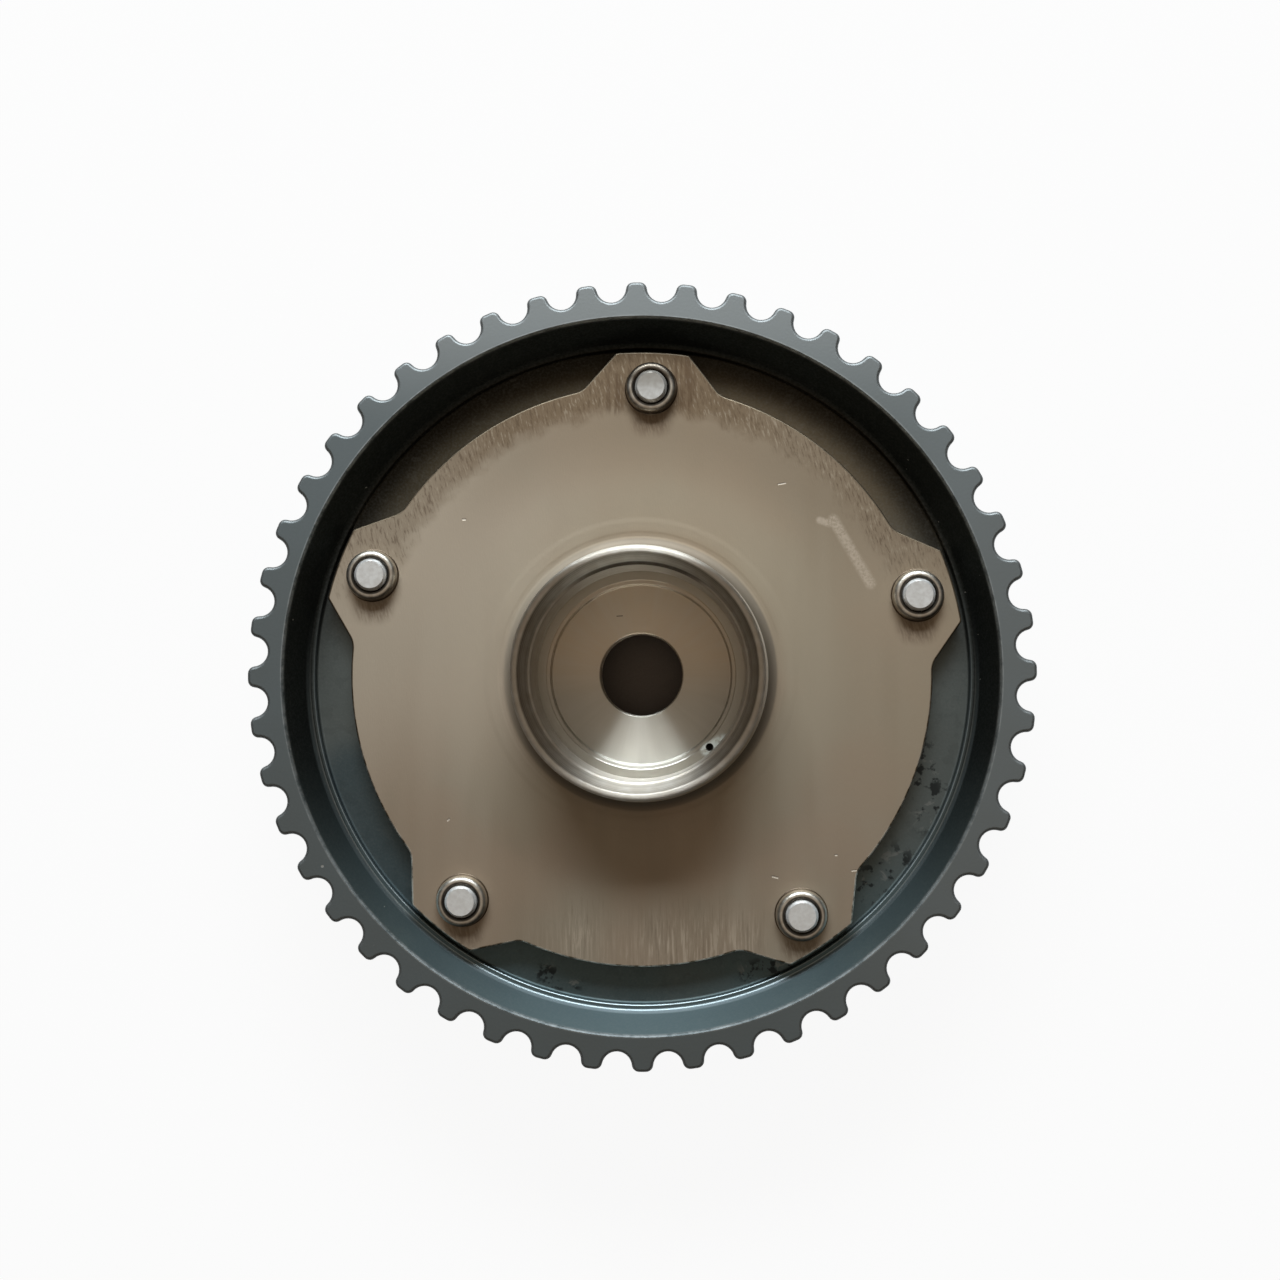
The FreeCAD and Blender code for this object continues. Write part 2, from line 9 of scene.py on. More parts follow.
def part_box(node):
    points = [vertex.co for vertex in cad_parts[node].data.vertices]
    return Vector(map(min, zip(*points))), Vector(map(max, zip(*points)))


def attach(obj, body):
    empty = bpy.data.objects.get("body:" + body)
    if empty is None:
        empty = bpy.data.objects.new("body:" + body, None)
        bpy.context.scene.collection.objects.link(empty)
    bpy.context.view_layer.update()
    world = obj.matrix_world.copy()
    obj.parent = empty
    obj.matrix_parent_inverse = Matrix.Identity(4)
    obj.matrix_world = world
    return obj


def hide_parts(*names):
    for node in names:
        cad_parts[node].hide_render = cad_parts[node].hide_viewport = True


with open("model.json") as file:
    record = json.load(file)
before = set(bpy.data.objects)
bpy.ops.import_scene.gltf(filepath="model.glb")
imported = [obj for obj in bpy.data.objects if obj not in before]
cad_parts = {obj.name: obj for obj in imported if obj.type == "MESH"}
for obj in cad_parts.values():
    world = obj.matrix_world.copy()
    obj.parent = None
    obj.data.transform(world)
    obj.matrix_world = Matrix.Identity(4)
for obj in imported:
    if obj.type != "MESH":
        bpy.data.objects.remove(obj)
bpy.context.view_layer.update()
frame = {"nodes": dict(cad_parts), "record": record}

# The dressed cam phaser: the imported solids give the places, and the pieces below are drawn in
# millimetres in the same frame, with rounded edges, threads and finishes.
MM = 0.001
FULL_TURN = 2 * pi

# Heights and radii read from the frame, in millimetres
pulley_low, pulley_high = (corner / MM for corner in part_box("pulley_stator"))
cover_low, cover_high = (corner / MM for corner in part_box("rear_cover"))
front_low, front_high = (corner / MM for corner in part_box("front_cover"))
plug_low, plug_high = (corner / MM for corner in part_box("closure_plug"))
rotor_low, rotor_high = (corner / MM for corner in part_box("rotor"))
screw_boxes = [[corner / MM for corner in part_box(f"cover_screw_{number}")] for number in range(1, 6)]

# Belt teeth
TOOTH_COUNT = 48
TIP_RADIUS = 60.43
ROOT_RADIUS = 57.46
GULLET_RADIUS = 2.3
TIP_CORNER_RADIUS = 1.1
FIRST_TOOTH = radians(0.45)
TOOTH_STEP = FULL_TURN / TOOTH_COUNT
TOOTH_EDGE = 0.55

# How far cutters stand past the faces they cut
SHORT_PAST = 0.5
PAST = 1.0
LONG_PAST = 2.0
CHAMFER_PAST = 0.2

# How deep the foot of a fillet sinks into the plate that it joins
SUNK = 0.01

# Sides of round pieces
LARGE_SIDES = 288
SIDES = 192
SMALL_SIDES = 64

# Edge roundings that several pieces share
FINE_EDGE = 0.2
PLAIN_EDGE = 0.3
BROAD_EDGE = 0.6

# Edges that bend by more than these angles stay sharp in the shading
SHARP_ANGLE = radians(32)
THREAD_SHARP_ANGLE = radians(40)

# Recesses of the pulley
RIM_EDGE_RADIUS = 54.9
RIM_CHAMFER = 0.25
LEDGE_RADIUS = 52.3
LEDGE_HEIGHT = 1.0
LEDGE_CORNER = 0.35
LEDGE_EDGE = 0.28
FLOOR_RADIUS = 51.4
FLOOR_CORNER = 0.45
FRONT_RECESS_RADIUS = 50.06
FRONT_CHAMFER = 0.6
FRONT_CHAMFER_EDGE = 0.4
STATOR_BOTTOM = front_high.z
STATOR_TOP = cover_low.z
CHAMBER_RADIUS = 36.5
CHAMBER_HALF_ANGLE = radians(18.58)
HUB_SPACE_RADIUS = 27.04
GROOVE_INNER_RADIUS = 38.2
GROOVE_OUTER_RADIUS = 40.6
GROOVE_DEPTH = 1.6

# Lobes of the rear cover
LOBE_COUNT = 5
LOBE_STEP = FULL_TURN / LOBE_COUNT
FIRST_LOBE = radians(87.8)
LOBE_RADIUS = 50.4
LOBE_HALF_WIDTH = 5.45
LOBE_SLOPE = radians(39.7)
LOBE_CORNER = 0.8
LOBE_ROOT = 3.5
COVER_RADIUS = 45.2
COVER_EDGE = 0.3
PLATE_TOP = 22.8
SCREW_HOLE_RADIUS = 2.75

# Neck of the rear cover
JOURNAL_RADIUS = 19.0
NECK_ROOT = 2.8
RIM_OUTER_EDGE = 0.7
RIM_INNER_EDGE = 0.25
NECK_BORE_RADIUS = 16.3
BORE_CHAMFER = 0.4
LEAD_IN_RADIUS = 17.9
LEAD_IN_DEPTH = 3.8
LEAD_IN_STEP = 0.36

# Light of the room, in metres and watts
LIGHT_TARGET = (0, 0, 0.02)
WINDOW_PLACE = (-0.05, 0.93, 0.73)
WINDOW_SIZE = (0.92, 0.32)
WINDOW_POWER = 12.6
OPEN_PANE_PLACE = (0.02, 0.92, 0.72)
OPEN_PANE_SIZE = (0.30, 0.32)
OPEN_PANE_POWER = 1.6
CEILING_GLOW = 0.32
WALL_GLOW = 0.02

# White floor, in millimetres, and the share of its own white that the camera sees
FLOOR_HALF_SIZE = 900
FLOOR_GAP = 0.05
FLOOR_OWN_WHITE = 0.93

# Camera: the eye and the point it looks at, from the middle of the rim's rear face
CAMERA_PLACE = (8.3, -4.4, 255)
CAMERA_TARGET = (0.1, 5.14, 0)
CAMERA_LENS = 46.97

# Small marks on the plate: start, end and half width
PLATE_NICKS = (
    ((-27.7, 24.2), (-27.4, 24.2), 0.22),
    ((21.5, 29.5), (22.6, 29.7), 0.16),
    ((20.4, -31.2), (21.2, -31.4), 0.2),
    ((32.6, -30.3), (33.6, -30.2), 0.14),
    ((30.1, -27.9), (30.3, -27.9), 0.18),
    ((-29.9, -22.7), (-29.7, -22.5), 0.2),
)

# Pale scuff of the plate and dark streaks beside the top screw: start, end and half width
PLATE_SCUFF = (
    ((30.0, 24.0), (35.7, 14.0), 1.15),
    ((27.9, 23.9), (29.6, 23.3), 0.8),
)
LOBE_STREAKS = (
    ((7.0, 43), (6.8, 48), 2.6),
    ((-4, 42), (-4, 46), 2),
)

# Smudged places on the floor of the rear recess: start, end and half width
FLOOR_SMUDGES = (
    ((41, -9), (46, -22), 5.0),
    ((36, -33), (40, -30), 5.0),
    ((-15, -47), (-11, -48.5), 2.5),
    ((17, -46.5), (24, -44.5), 2.5),
)

# Screws and collars
SCREW_RADIUS = 2.5
THREAD_PITCH = 0.8
THREAD_DEPTH = 0.42
THREAD_SIDES = 40
THREAD_LEVELS = 8
CREST_WIDENING = 1.25
THREAD_END_INSET = 0.4
THREAD_END_SLOPE = 1.1
SCREW_HEAD_RADIUS = 4.5
SCREW_HEAD_HEIGHT = 2.4
SCREW_SOCKET_WIDTH = 4.0
SCREW_SOCKET_DEPTH = 1.5
HEAD_SEAT_EDGE = 0.12
COLLAR_RADIUS = 3.95
COLLAR_HEIGHT = 2.0
COLLAR_CROWN = 0.85
COLLAR_FOOT = 0.35
HOLE_CLEARANCE = 0.05
HOLE_CHAMFER = 0.3

# Plug
PLUG_THREAD_RADIUS = 14.95
PLUG_FLANGE_RADIUS = 18.5
PLUG_SOCKET_WIDTH = 12.0
PLUG_SOCKET_DEPTH = 2.4
PLUG_HOLLOW_RADIUS = 12.8
PLUG_HOLLOW_FLOOR = 2.0
PLUG_BOSS_RADIUS = 8.53
PLUG_BOSS_HEIGHT = 3.8
PLUG_SEAL_INNER = 15.5
PLUG_SEAL_OUTER = 17.3
PLUG_SEAL_DEPTH = 1.3

# Rotor
HUB_RADIUS = 27.0
NOSE_RADIUS = 14.25
NOSE_DEPTH = 2.0
NOSE_BEVEL = 0.75
NOSE_BEVEL_DEPTH = 0.1
NOSE_EDGE = 0.05
BOLT_HOLE_RADIUS = 6.5
BOLT_SEAT_THICKNESS = 5.0
COUNTERBORE_RADIUS = 12.0
FIRST_VANE = radians(138.8)
SLOT_FLOOR_RADIUS = 17.0
SLOT_WIDTH = 3.06
lock_middle = (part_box("lock_pin")[0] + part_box("lock_pin")[1]) / 2 / MM
LOCK_CIRCLE = hypot(lock_middle.x, lock_middle.y)
LOCK_ANGLE = atan2(lock_middle.y, lock_middle.x)
LOCK_BORE_RADIUS = 2.85
LOCK_HEAD_BORE_RADIUS = 3.6
LOCK_STEP_HEIGHT = 12.77
VENT_START = 1.4
VENT_RADIUS = 0.62
VENT_CIRCLE = 15.7
PORT_OFFSET = 3.2
PORT_POCKET_DEPTH = 0.8
BOLT_HOLE_PORT_RADIUS = 0.75
RECESS_PORT_RADIUS = 0.6
RECESS_PORT_HEIGHT = 0.8

# Lock pockets of the front cover: angle, radius and depth
LOCK_POCKETS = ((LOCK_ANGLE, 4.2, 2.9), (LOCK_ANGLE - radians(30), 2.95, 2.7))

# Blued steel of the pulley
FLOOR_GREY = (0.146, 0.168, 0.164)
FLOOR_TEAL = (0.100, 0.140, 0.148)
PALE_CLOUD = (0.17, 0.18, 0.165)
# Olive of the upper floor, darkened as painted shade at the top left
OLIVE_SHADE_DARK = (0.084, 0.070, 0.046)
OLIVE = (0.145, 0.116, 0.076)
DEEP_BLUE = (0.050, 0.086, 0.105)
# Painted shadow of the rim on the recess floor
RIM_SHADOW_DARK = (0.012, 0.012, 0.010)
# Painted light and shade of the recess wall
WALL_PAINTED_LIGHT_TEAL = (0.112, 0.156, 0.166)
WALL_PAINTED_SHADE_BLACK = (0.026, 0.032, 0.031)
FACE_BLUE = (0.188, 0.220, 0.230)
# Painted sheen of the rim face, towards its top and its right
FACE_TOP_SHEEN_GREY = (0.30, 0.325, 0.33)
FACE_RIGHT_SHEEN = (0.29, 0.315, 0.32)
GRAIN_GREY = (0.25, 0.27, 0.275)
WORN_GREY = (0.48, 0.52, 0.53)
OIL_SPOT = (0.022, 0.024, 0.025)
PALE_SMUDGE = (0.30, 0.31, 0.30)
CHIP_GREY = (0.50, 0.52, 0.51)
# Painted highlight of the ledge edges
LEDGE_HIGHLIGHT_BLUE = (0.42, 0.50, 0.53)
# Painted highlight of the tooth bevels
BEVEL_HIGHLIGHT_GREY = (0.27, 0.285, 0.285)

# Stained steel of the rear cover
PLATE_BROWN = (0.40, 0.345, 0.265)
PLATE_SAND = (0.46, 0.405, 0.32)
PLATE_TAN = (0.47, 0.375, 0.285)
PLATE_GOLD = (0.47, 0.39, 0.285)
NECK_HALO = (0.52, 0.465, 0.365)
ROOT_BROWN = (0.27, 0.235, 0.19)
PALE_SAND = (0.60, 0.53, 0.43)
# Painted shade tint where the neck's shadow falls
NECK_SHADOW_RUDDY = (0.39, 0.29, 0.215)
DUSK_BROWN = (0.30, 0.235, 0.165)
RUB_BROWN = (0.17, 0.105, 0.05)
STROKE_DARK = (0.15, 0.105, 0.07)
STROKE_PALE = (0.52, 0.45, 0.35)
SMEAR_BROWN = (0.14, 0.09, 0.055)
# Painted shadow and smear below the collars
COLLAR_SHADOW_BROWN = (0.17, 0.115, 0.075)
SAND_WHITE = (0.68, 0.60, 0.49)
STREAK_DARK = (0.27, 0.22, 0.165)
SCUFF_PALE = (0.74, 0.65, 0.54)
NICK_BRIGHT = (0.85, 0.80, 0.72)

# Plain finishes: name, grain, tones, relief, metallic share and roughness
PHOSPHATED = ("phosphated steel", (4.0, 4, 0.6), ((0.085, 0.072, 0.065), (0.16, 0.14, 0.125)),
              (0.25, 0.03), 0.7, (0.40, 0.55))
SPRING = ("spring steel", (1.0, 3), ((0.30, 0.29, 0.28), (0.50, 0.49, 0.47)), None, 1.0, (0.28, 0.4))
RUBBER = ("seal rubber", (3.0, 4), ((0.018, 0.018, 0.018), (0.035, 0.035, 0.034)),
          (0.3, 0.03), 0.0, (0.5, 0.65))
PLASTIC = ("seat plastic", (4.0, 3), ((0.03, 0.03, 0.033), (0.05, 0.05, 0.055)),
           (0.2, 0.02), 0.0, (0.42, 0.55))


def polar(radius, angle):
    return (radius * cos(angle), radius * sin(angle))


def arc(centre, radius, start, end, count):
    """Points along an arc in a plane, both ends included."""
    steps = [start + (end - start) * number / count for number in range(count + 1)]
    return [(centre[0] + radius * cos(step), centre[1] + radius * sin(step)) for step in steps]


def rounded(corners, count=4):
    """Closed profile from (radius, height, fillet) corners, each fillet drawn as an arc."""
    points = []
    for number, (x, y, fillet) in enumerate(corners):
        here = Vector((x, y))
        before = (Vector(corners[number - 1][:2]) - here).normalized()
        after = (Vector(corners[(number + 1) % len(corners)][:2]) - here).normalized()
        half = before.angle(after) / 2
        if fillet == 0 or abs(half - pi / 2) < 0.01:
            points.append((x, y))
            continue
        centre = here + (before + after).normalized() * (fillet / sin(half))
        start = here + before * (fillet / tan(half)) - centre
        end = here + after * (fillet / tan(half)) - centre
        first = atan2(start.y, start.x)
        turn = (atan2(end.y, end.x) - first + pi) % FULL_TURN - pi
        points += arc(centre, fillet, first, first + turn, count)
    return points


def linked_object(name, data):
    item = bpy.data.objects.new(name, data)
    bpy.context.collection.objects.link(item)
    return item


def mesh_object(name, points, faces):
    """Object at the origin from points in millimetres."""
    mesh = bpy.data.meshes.new(name)
    mesh.from_pydata([(x * MM, y * MM, z * MM) for x, y, z in points], [], faces)
    mesh.validate()
    shape = bmesh.new()
    shape.from_mesh(mesh)
    bmesh.ops.recalc_face_normals(shape, faces=shape.faces)
    shape.to_mesh(mesh)
    shape.free()
    return linked_object(name, mesh)


def turned(name, profile, sides=SIDES, centre=(0, 0)):
    """Closed solid turned about a vertical axis from a closed (radius, height) profile."""
    points = []
    rings = []
    for radius, height in profile:
        first = len(points)
        if radius < 1e-6:
            points.append((centre[0], centre[1], height))
            rings.append([first] * sides)
            continue
        for number in range(sides):
            x, y = polar(radius, FULL_TURN * number / sides)
            points.append((centre[0] + x, centre[1] + y, height))
        rings.append(list(range(first, first + sides)))
    faces = []
    for number, ring in enumerate(rings):
        following = rings[(number + 1) % len(rings)]
        for step in range(sides):
            beside = (step + 1) % sides
            corners = [ring[step], ring[beside], following[beside], following[step]]
            corners = list(dict.fromkeys(corners))
            if len(corners) > 2:
                faces.append(corners)
    return mesh_object(name, points, faces)


def stacked(name, loops):
    """Closed solid from loops of equal length, as (points, height), with flat ends."""
    points = []
    for outline, height in loops:
        points += [(x, y, height) for x, y in outline]
    count = len(loops[0][0])
    faces = [list(range(count)), list(range(len(points) - count, len(points)))]
    for level in range(len(loops) - 1):
        for step in range(count):
            beside = (step + 1) % count
            low, high = level * count, (level + 1) * count
            faces.append([low + step, low + beside, high + beside, high + step])
    return mesh_object(name, points, faces)


def edge_levels(low, high, edge, count=3):
    """Insets and heights of a stack whose two end edges are rounded."""
    levels = []
    for number in range(count + 1):
        turn = pi / 2 * number / count
        levels.append((edge * (1 - sin(turn)), low + edge * (1 - cos(turn))))
    return levels + [(inset, high + low - height) for inset, height in reversed(levels)]


def combined(piece, others, operation):
    """Boolean of a piece with others, applied, with the others removed."""
    for other in others:
        modifier = piece.modifiers.new(other.name, "BOOLEAN")
        modifier.object = other
        modifier.operation = operation
        modifier.solver = "EXACT"
    graph = bpy.context.evaluated_depsgraph_get()
    result = bpy.data.meshes.new_from_object(piece.evaluated_get(graph))
    piece.modifiers.clear()
    piece.data = result
    for other in others:
        bpy.data.objects.remove(other)


def cylinder(name, radius, low, high, centre=(0, 0), sides=48):
    return turned(name, [(0, low), (radius, low), (radius, high), (0, high)], sides, centre)


def bar(name, start, direction, length, radius, sides=24):
    """Round cutter along a horizontal direction from a start point."""
    across = Vector((-direction.y, direction.x, 0))
    points = []
    for reach in (0, length):
        for number in range(sides):
            side, up = polar(radius, FULL_TURN * number / sides)
            points.append(tuple(start + direction * reach + across * side + Vector((0, 0, up))))
    faces = [list(range(sides)), list(range(sides, 2 * sides))]
    for step in range(sides):
        beside = (step + 1) % sides
        faces.append([step, beside, sides + beside, sides + step])
    return mesh_object(name, points, faces)


def hexagon(name, width, low, high, centre=(0, 0)):
    corners = [polar(width / sqrt(3), pi / 3 * number) for number in range(6)]
    outline = [(centre[0] + x, centre[1] + y) for x, y in corners]
    return stacked(name, [(outline, low), (outline, high)])


def softened(piece, angle):
    """Smooth shading that keeps flat faces flat and sharp edges sharp."""
    piece.data.shade_smooth()
    piece.data.set_sharp_from_angle(angle=angle)
    weighted = piece.modifiers.new("flat faces", "WEIGHTED_NORMAL")
    weighted.keep_sharp = True
    weighted.weight = 80


def painted(piece, *finishes):
    for finish in finishes:
        piece.data.materials.append(finish)
    return piece


def placed(piece, body, node, angle=SHARP_ANGLE):
    """Shades a piece, lets it ride on a body and stand for a CAD node."""
    softened(piece, angle)
    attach(piece, body)
    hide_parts(node)


def tooth_outline(inset):
    """Outline of the belt teeth moved inwards, with true arcs at tips and gullets."""
    gullet_centre = ROOT_RADIUS + GULLET_RADIUS
    corner_centre = TIP_RADIUS - TIP_CORNER_RADIUS
    reach = GULLET_RADIUS + TIP_CORNER_RADIUS
    spread = gullet_centre**2 + corner_centre**2 - reach**2
    from_gullet = acos(spread / (2 * gullet_centre * corner_centre))
    land = TOOTH_STEP / 2 - from_gullet
    points = []
    for number in range(TOOTH_COUNT):
        tooth = FIRST_TOOTH + number * TOOTH_STEP
        leaving = Vector(polar(corner_centre, tooth + land))
        arriving = Vector(polar(corner_centre, tooth + TOOTH_STEP - land))
        gullet = Vector(polar(gullet_centre, tooth + TOOTH_STEP / 2))
        flank = gullet - leaving
        opposite = arriving - gullet
        first = atan2(flank.y, flank.x)
        turn = (first - (tooth + land) + pi) % FULL_TURN - pi
        points += arc((0, 0), TIP_RADIUS - inset, tooth - land, tooth + land, 3)
        points += arc(leaving, TIP_CORNER_RADIUS - inset, tooth + land, tooth + land + turn, 5)[1:]
        start = first + pi
        last = atan2(opposite.y, opposite.x)
        sweep = (last - start) % FULL_TURN - FULL_TURN
        points += arc(gullet, GULLET_RADIUS + inset, start, start + sweep, 14)[1:]
        end = tooth + TOOTH_STEP - land
        begin = last + pi
        turn = (end - begin + pi) % FULL_TURN - pi
        points += arc(arriving, TIP_CORNER_RADIUS - inset, begin, begin + turn, 5)[1:-1]
    return points


def lobe_outline(inset):
    """Outline of the five-lobed cover moved inwards: lobe end, corner, side and root arcs."""
    line = sin(LOBE_SLOPE) * LOBE_RADIUS + cos(LOBE_SLOPE) * LOBE_HALF_WIDTH
    corner_reach = LOBE_RADIUS - LOBE_CORNER
    root_reach = COVER_RADIUS + LOBE_ROOT
    corner_at = asin((line - LOBE_CORNER) / corner_reach) - LOBE_SLOPE
    root_at = asin((line + LOBE_ROOT) / root_reach) - LOBE_SLOPE
    side = pi / 2 - LOBE_SLOPE
    points = []
    for number in range(LOBE_COUNT):
        lobe = FIRST_LOBE + number * LOBE_STEP
        corner = polar(corner_reach, lobe + corner_at)
        root = polar(root_reach, lobe + root_at)
        points += arc((0, 0), LOBE_RADIUS - inset, lobe - corner_at, lobe + corner_at, 8)
        points += arc(corner, LOBE_CORNER - inset, lobe + corner_at, lobe + side, 5)[1:]
        points += arc(root, LOBE_ROOT + inset, lobe + side + pi, lobe + root_at + pi, 8)
        following = lobe + LOBE_STEP
        points += arc((0, 0), COVER_RADIUS - inset, lobe + root_at, following - root_at, 40)[1:-1]
        root = polar(root_reach, following - root_at)
        points += arc(root, LOBE_ROOT + inset, following - root_at + pi, following - side + pi, 8)
        corner = polar(corner_reach, following - corner_at)
        points += arc(corner, LOBE_CORNER - inset, following - side, following - corner_at, 5)[:-1]
    return points


def screw_places():
    return [((low.x + high.x) / 2, (low.y + high.y) / 2) for low, high in screw_boxes]


def screw_holes(low, high):
    return [cylinder("screw hole", SCREW_HOLE_RADIUS, low, high, place) for place in screw_places()]


def rear_recess():
    """Cutter for the rear recess: tapered wall, ledge and rounded floor corner."""
    return turned("rear recess", rounded([
        (0, STATOR_TOP, 0),
        (FLOOR_RADIUS, STATOR_TOP, FLOOR_CORNER),
        (FLOOR_RADIUS, STATOR_TOP + LEDGE_HEIGHT, LEDGE_EDGE),
        (LEDGE_RADIUS, STATOR_TOP + LEDGE_HEIGHT, LEDGE_CORNER),
        (RIM_EDGE_RADIUS, pulley_high.z - RIM_CHAMFER, PLAIN_EDGE),
        (RIM_EDGE_RADIUS + RIM_CHAMFER + CHAMFER_PAST, pulley_high.z + CHAMFER_PAST, 0),
        (RIM_EDGE_RADIUS + RIM_CHAMFER + CHAMFER_PAST, pulley_high.z + LONG_PAST, 0),
        (0, pulley_high.z + LONG_PAST, 0),
    ]), LARGE_SIDES)


def front_recess():
    return turned("front recess", rounded([
        (0, -LONG_PAST, 0),
        (FRONT_RECESS_RADIUS + FRONT_CHAMFER + CHAMFER_PAST, -LONG_PAST, 0),
        (FRONT_RECESS_RADIUS + FRONT_CHAMFER + CHAMFER_PAST, -CHAMFER_PAST, 0),
        (FRONT_RECESS_RADIUS, FRONT_CHAMFER, FRONT_CHAMFER_EDGE),
        (FRONT_RECESS_RADIUS, STATOR_BOTTOM, PLAIN_EDGE),
        (0, STATOR_BOTTOM, 0),
    ]), LARGE_SIDES)


def chamber_cutters():
    """The five oil chambers, with flat sides along radii."""
    half = CHAMBER_HALF_ANGLE
    low, high = STATOR_BOTTOM - SHORT_PAST, STATOR_TOP + SHORT_PAST
    cutters = []
    for number in range(LOBE_COUNT):
        middle = FIRST_LOBE + LOBE_STEP / 2 + number * LOBE_STEP
        outline = arc((0, 0), CHAMBER_RADIUS, middle - half, middle + half, 24)
        outline += arc((0, 0), HUB_SPACE_RADIUS - LONG_PAST, middle + half, middle - half, 12)
        cutters.append(stacked("chamber", [(outline, low), (outline, high)]))
    return cutters


def ring_cutter(inner, outer, low, high, sides=SIDES):
    return turned("groove", [(inner, low), (outer, low), (outer, high), (inner, high)], sides)


def make_pulley():
    levels = edge_levels(pulley_low.z, pulley_high.z, TOOTH_EDGE)
    body = stacked("pulley_body", [(tooth_outline(inset), height) for inset, height in levels])
    low, high = STATOR_BOTTOM - SHORT_PAST, STATOR_TOP + SHORT_PAST
    hub_space = cylinder("hub space", HUB_SPACE_RADIUS, low, high, sides=SIDES)
    cutters = [rear_recess(), front_recess(), hub_space] + chamber_cutters()
    for ends in ((STATOR_TOP - GROOVE_DEPTH, high), (low, STATOR_BOTTOM + GROOVE_DEPTH)):
        cutters.append(ring_cutter(GROOVE_INNER_RADIUS, GROOVE_OUTER_RADIUS, *ends))
    cutters += screw_holes(STATOR_BOTTOM - PAST, STATOR_TOP + PAST)
    combined(body, cutters, "DIFFERENCE")
    placed(painted(body, blued_steel()), "housing", "pulley_stator")


def collar_piece(place):
    """Raised collar with a rounded crown and a small fillet at its foot."""
    top = PLATE_TOP + COLLAR_HEIGHT
    return turned("collar", rounded([
        (0, PLATE_TOP - PAST, 0),
        (COLLAR_RADIUS + COLLAR_FOOT, PLATE_TOP - PAST, 0),
        (COLLAR_RADIUS + COLLAR_FOOT, PLATE_TOP - 2 * SUNK, 0),
        (COLLAR_RADIUS, PLATE_TOP - 2 * SUNK, PLAIN_EDGE),
        (COLLAR_RADIUS, top, COLLAR_CROWN),
        (0, top, 0),
    ], 6), SMALL_SIDES, place)


def neck_piece():
    """Neck with a rounded rim and the rounded root that runs out on the plate."""
    top = cover_high.z
    foot_radius = JOURNAL_RADIUS + NECK_ROOT
    profile = [(0, PLATE_TOP - PAST), (foot_radius, PLATE_TOP - PAST)]
    profile += arc((foot_radius, PLATE_TOP + NECK_ROOT - SUNK), NECK_ROOT, -pi / 2, -pi, 12)
    rim = [(JOURNAL_RADIUS, top - 2, 0), (JOURNAL_RADIUS, top, RIM_OUTER_EDGE), (0, top, 0)]
    profile += rounded(rim, 8)
    return turned("neck", profile)


def neck_bore():
    """Cutter for the bore of the neck, its lead-in and the rounded inner edge of the rim."""
    top = cover_high.z - 0.005
    lead_in_end = top - LEAD_IN_DEPTH
    return turned("neck bore", rounded([
        (0, cover_low.z - PAST, 0),
        (NECK_BORE_RADIUS + BORE_CHAMFER, cover_low.z - PAST, 0),
        (NECK_BORE_RADIUS + BORE_CHAMFER, cover_low.z, 0),
        (NECK_BORE_RADIUS, cover_low.z + BORE_CHAMFER, FINE_EDGE),
        (NECK_BORE_RADIUS, lead_in_end - 0.1, 0.08),
        (NECK_BORE_RADIUS + LEAD_IN_STEP, lead_in_end + 0.06, 0.12),
        (LEAD_IN_RADIUS, top, RIM_INNER_EDGE),
        (JOURNAL_RADIUS + PAST, top, 0),
        (JOURNAL_RADIUS + PAST, top + PAST, 0),
        (0, top + PAST, 0),
    ]))


def thread_hole(place):
    top = PLATE_TOP + COLLAR_HEIGHT
    radius = SCREW_RADIUS + HOLE_CLEARANCE
    return turned("thread hole", rounded([
        (0, cover_low.z - PAST, 0),
        (radius, cover_low.z - PAST, 0),
        (radius, top - HOLE_CHAMFER, HOLE_CHAMFER / 2),
        (radius + HOLE_CHAMFER + 0.1, top + 0.1, 0),
        (radius + HOLE_CHAMFER + 0.1, top + PAST, 0),
        (0, top + PAST, 0),
    ]), SMALL_SIDES, place)


def farthest(corners, middle):
    """Largest distance of a face's corners from an upright axis."""
    return max((corner - Vector(middle)).length for corner in corners)


def make_rear_cover():
    levels = edge_levels(cover_low.z, PLATE_TOP, COVER_EDGE)
    body = stacked("rear_cover_plate", [(lobe_outline(inset), height) for inset, height in levels])
    combined(body, [neck_piece()] + [collar_piece(place) for place in screw_places()], "UNION")
    combined(body, [neck_bore()] + [thread_hole(place) for place in screw_places()], "DIFFERENCE")
    painted(body, cover_steel(), neck_steel(), collar_steel(), worn_edge())
    for face in body.data.polygons:
        corners = [(body.data.vertices[index].co / MM).xy for index in face.vertices]
        reach = farthest(corners, (0, 0))
        from_screw = min(farthest(corners, place) for place in screw_places())
        if reach < JOURNAL_RADIUS + 0.35 * NECK_ROOT:
            face.material_index = 1
        elif from_screw < COLLAR_RADIUS + COLLAR_FOOT + 0.05:
            face.material_index = 2
        elif 0.1 < face.normal.z < 0.98 and reach > COVER_RADIUS - 1:
            face.material_index = 3
    placed(body, "housing", "rear_cover")


def make_front_cover():
    radius = front_high.x
    inner_radius = PLUG_THREAD_RADIUS + HOLE_CLEARANCE
    body = turned("front_cover_plate", rounded([
        (inner_radius, front_low.z, FINE_EDGE),
        (radius, front_low.z, 0.5),
        (radius, front_high.z, 0.15),
        (inner_radius, front_high.z, FINE_EDGE),
    ]), LARGE_SIDES)
    holes = screw_holes(front_low.z - PAST, front_high.z + PAST)
    for angle, reach, depth in LOCK_POCKETS:
        place = polar(LOCK_CIRCLE, angle)
        holes.append(cylinder("pocket", reach, front_high.z - depth, front_high.z + PAST, place))
    combined(body, holes, "DIFFERENCE")
    placed(painted(body, front_cover_steel()), "housing", "front_cover")


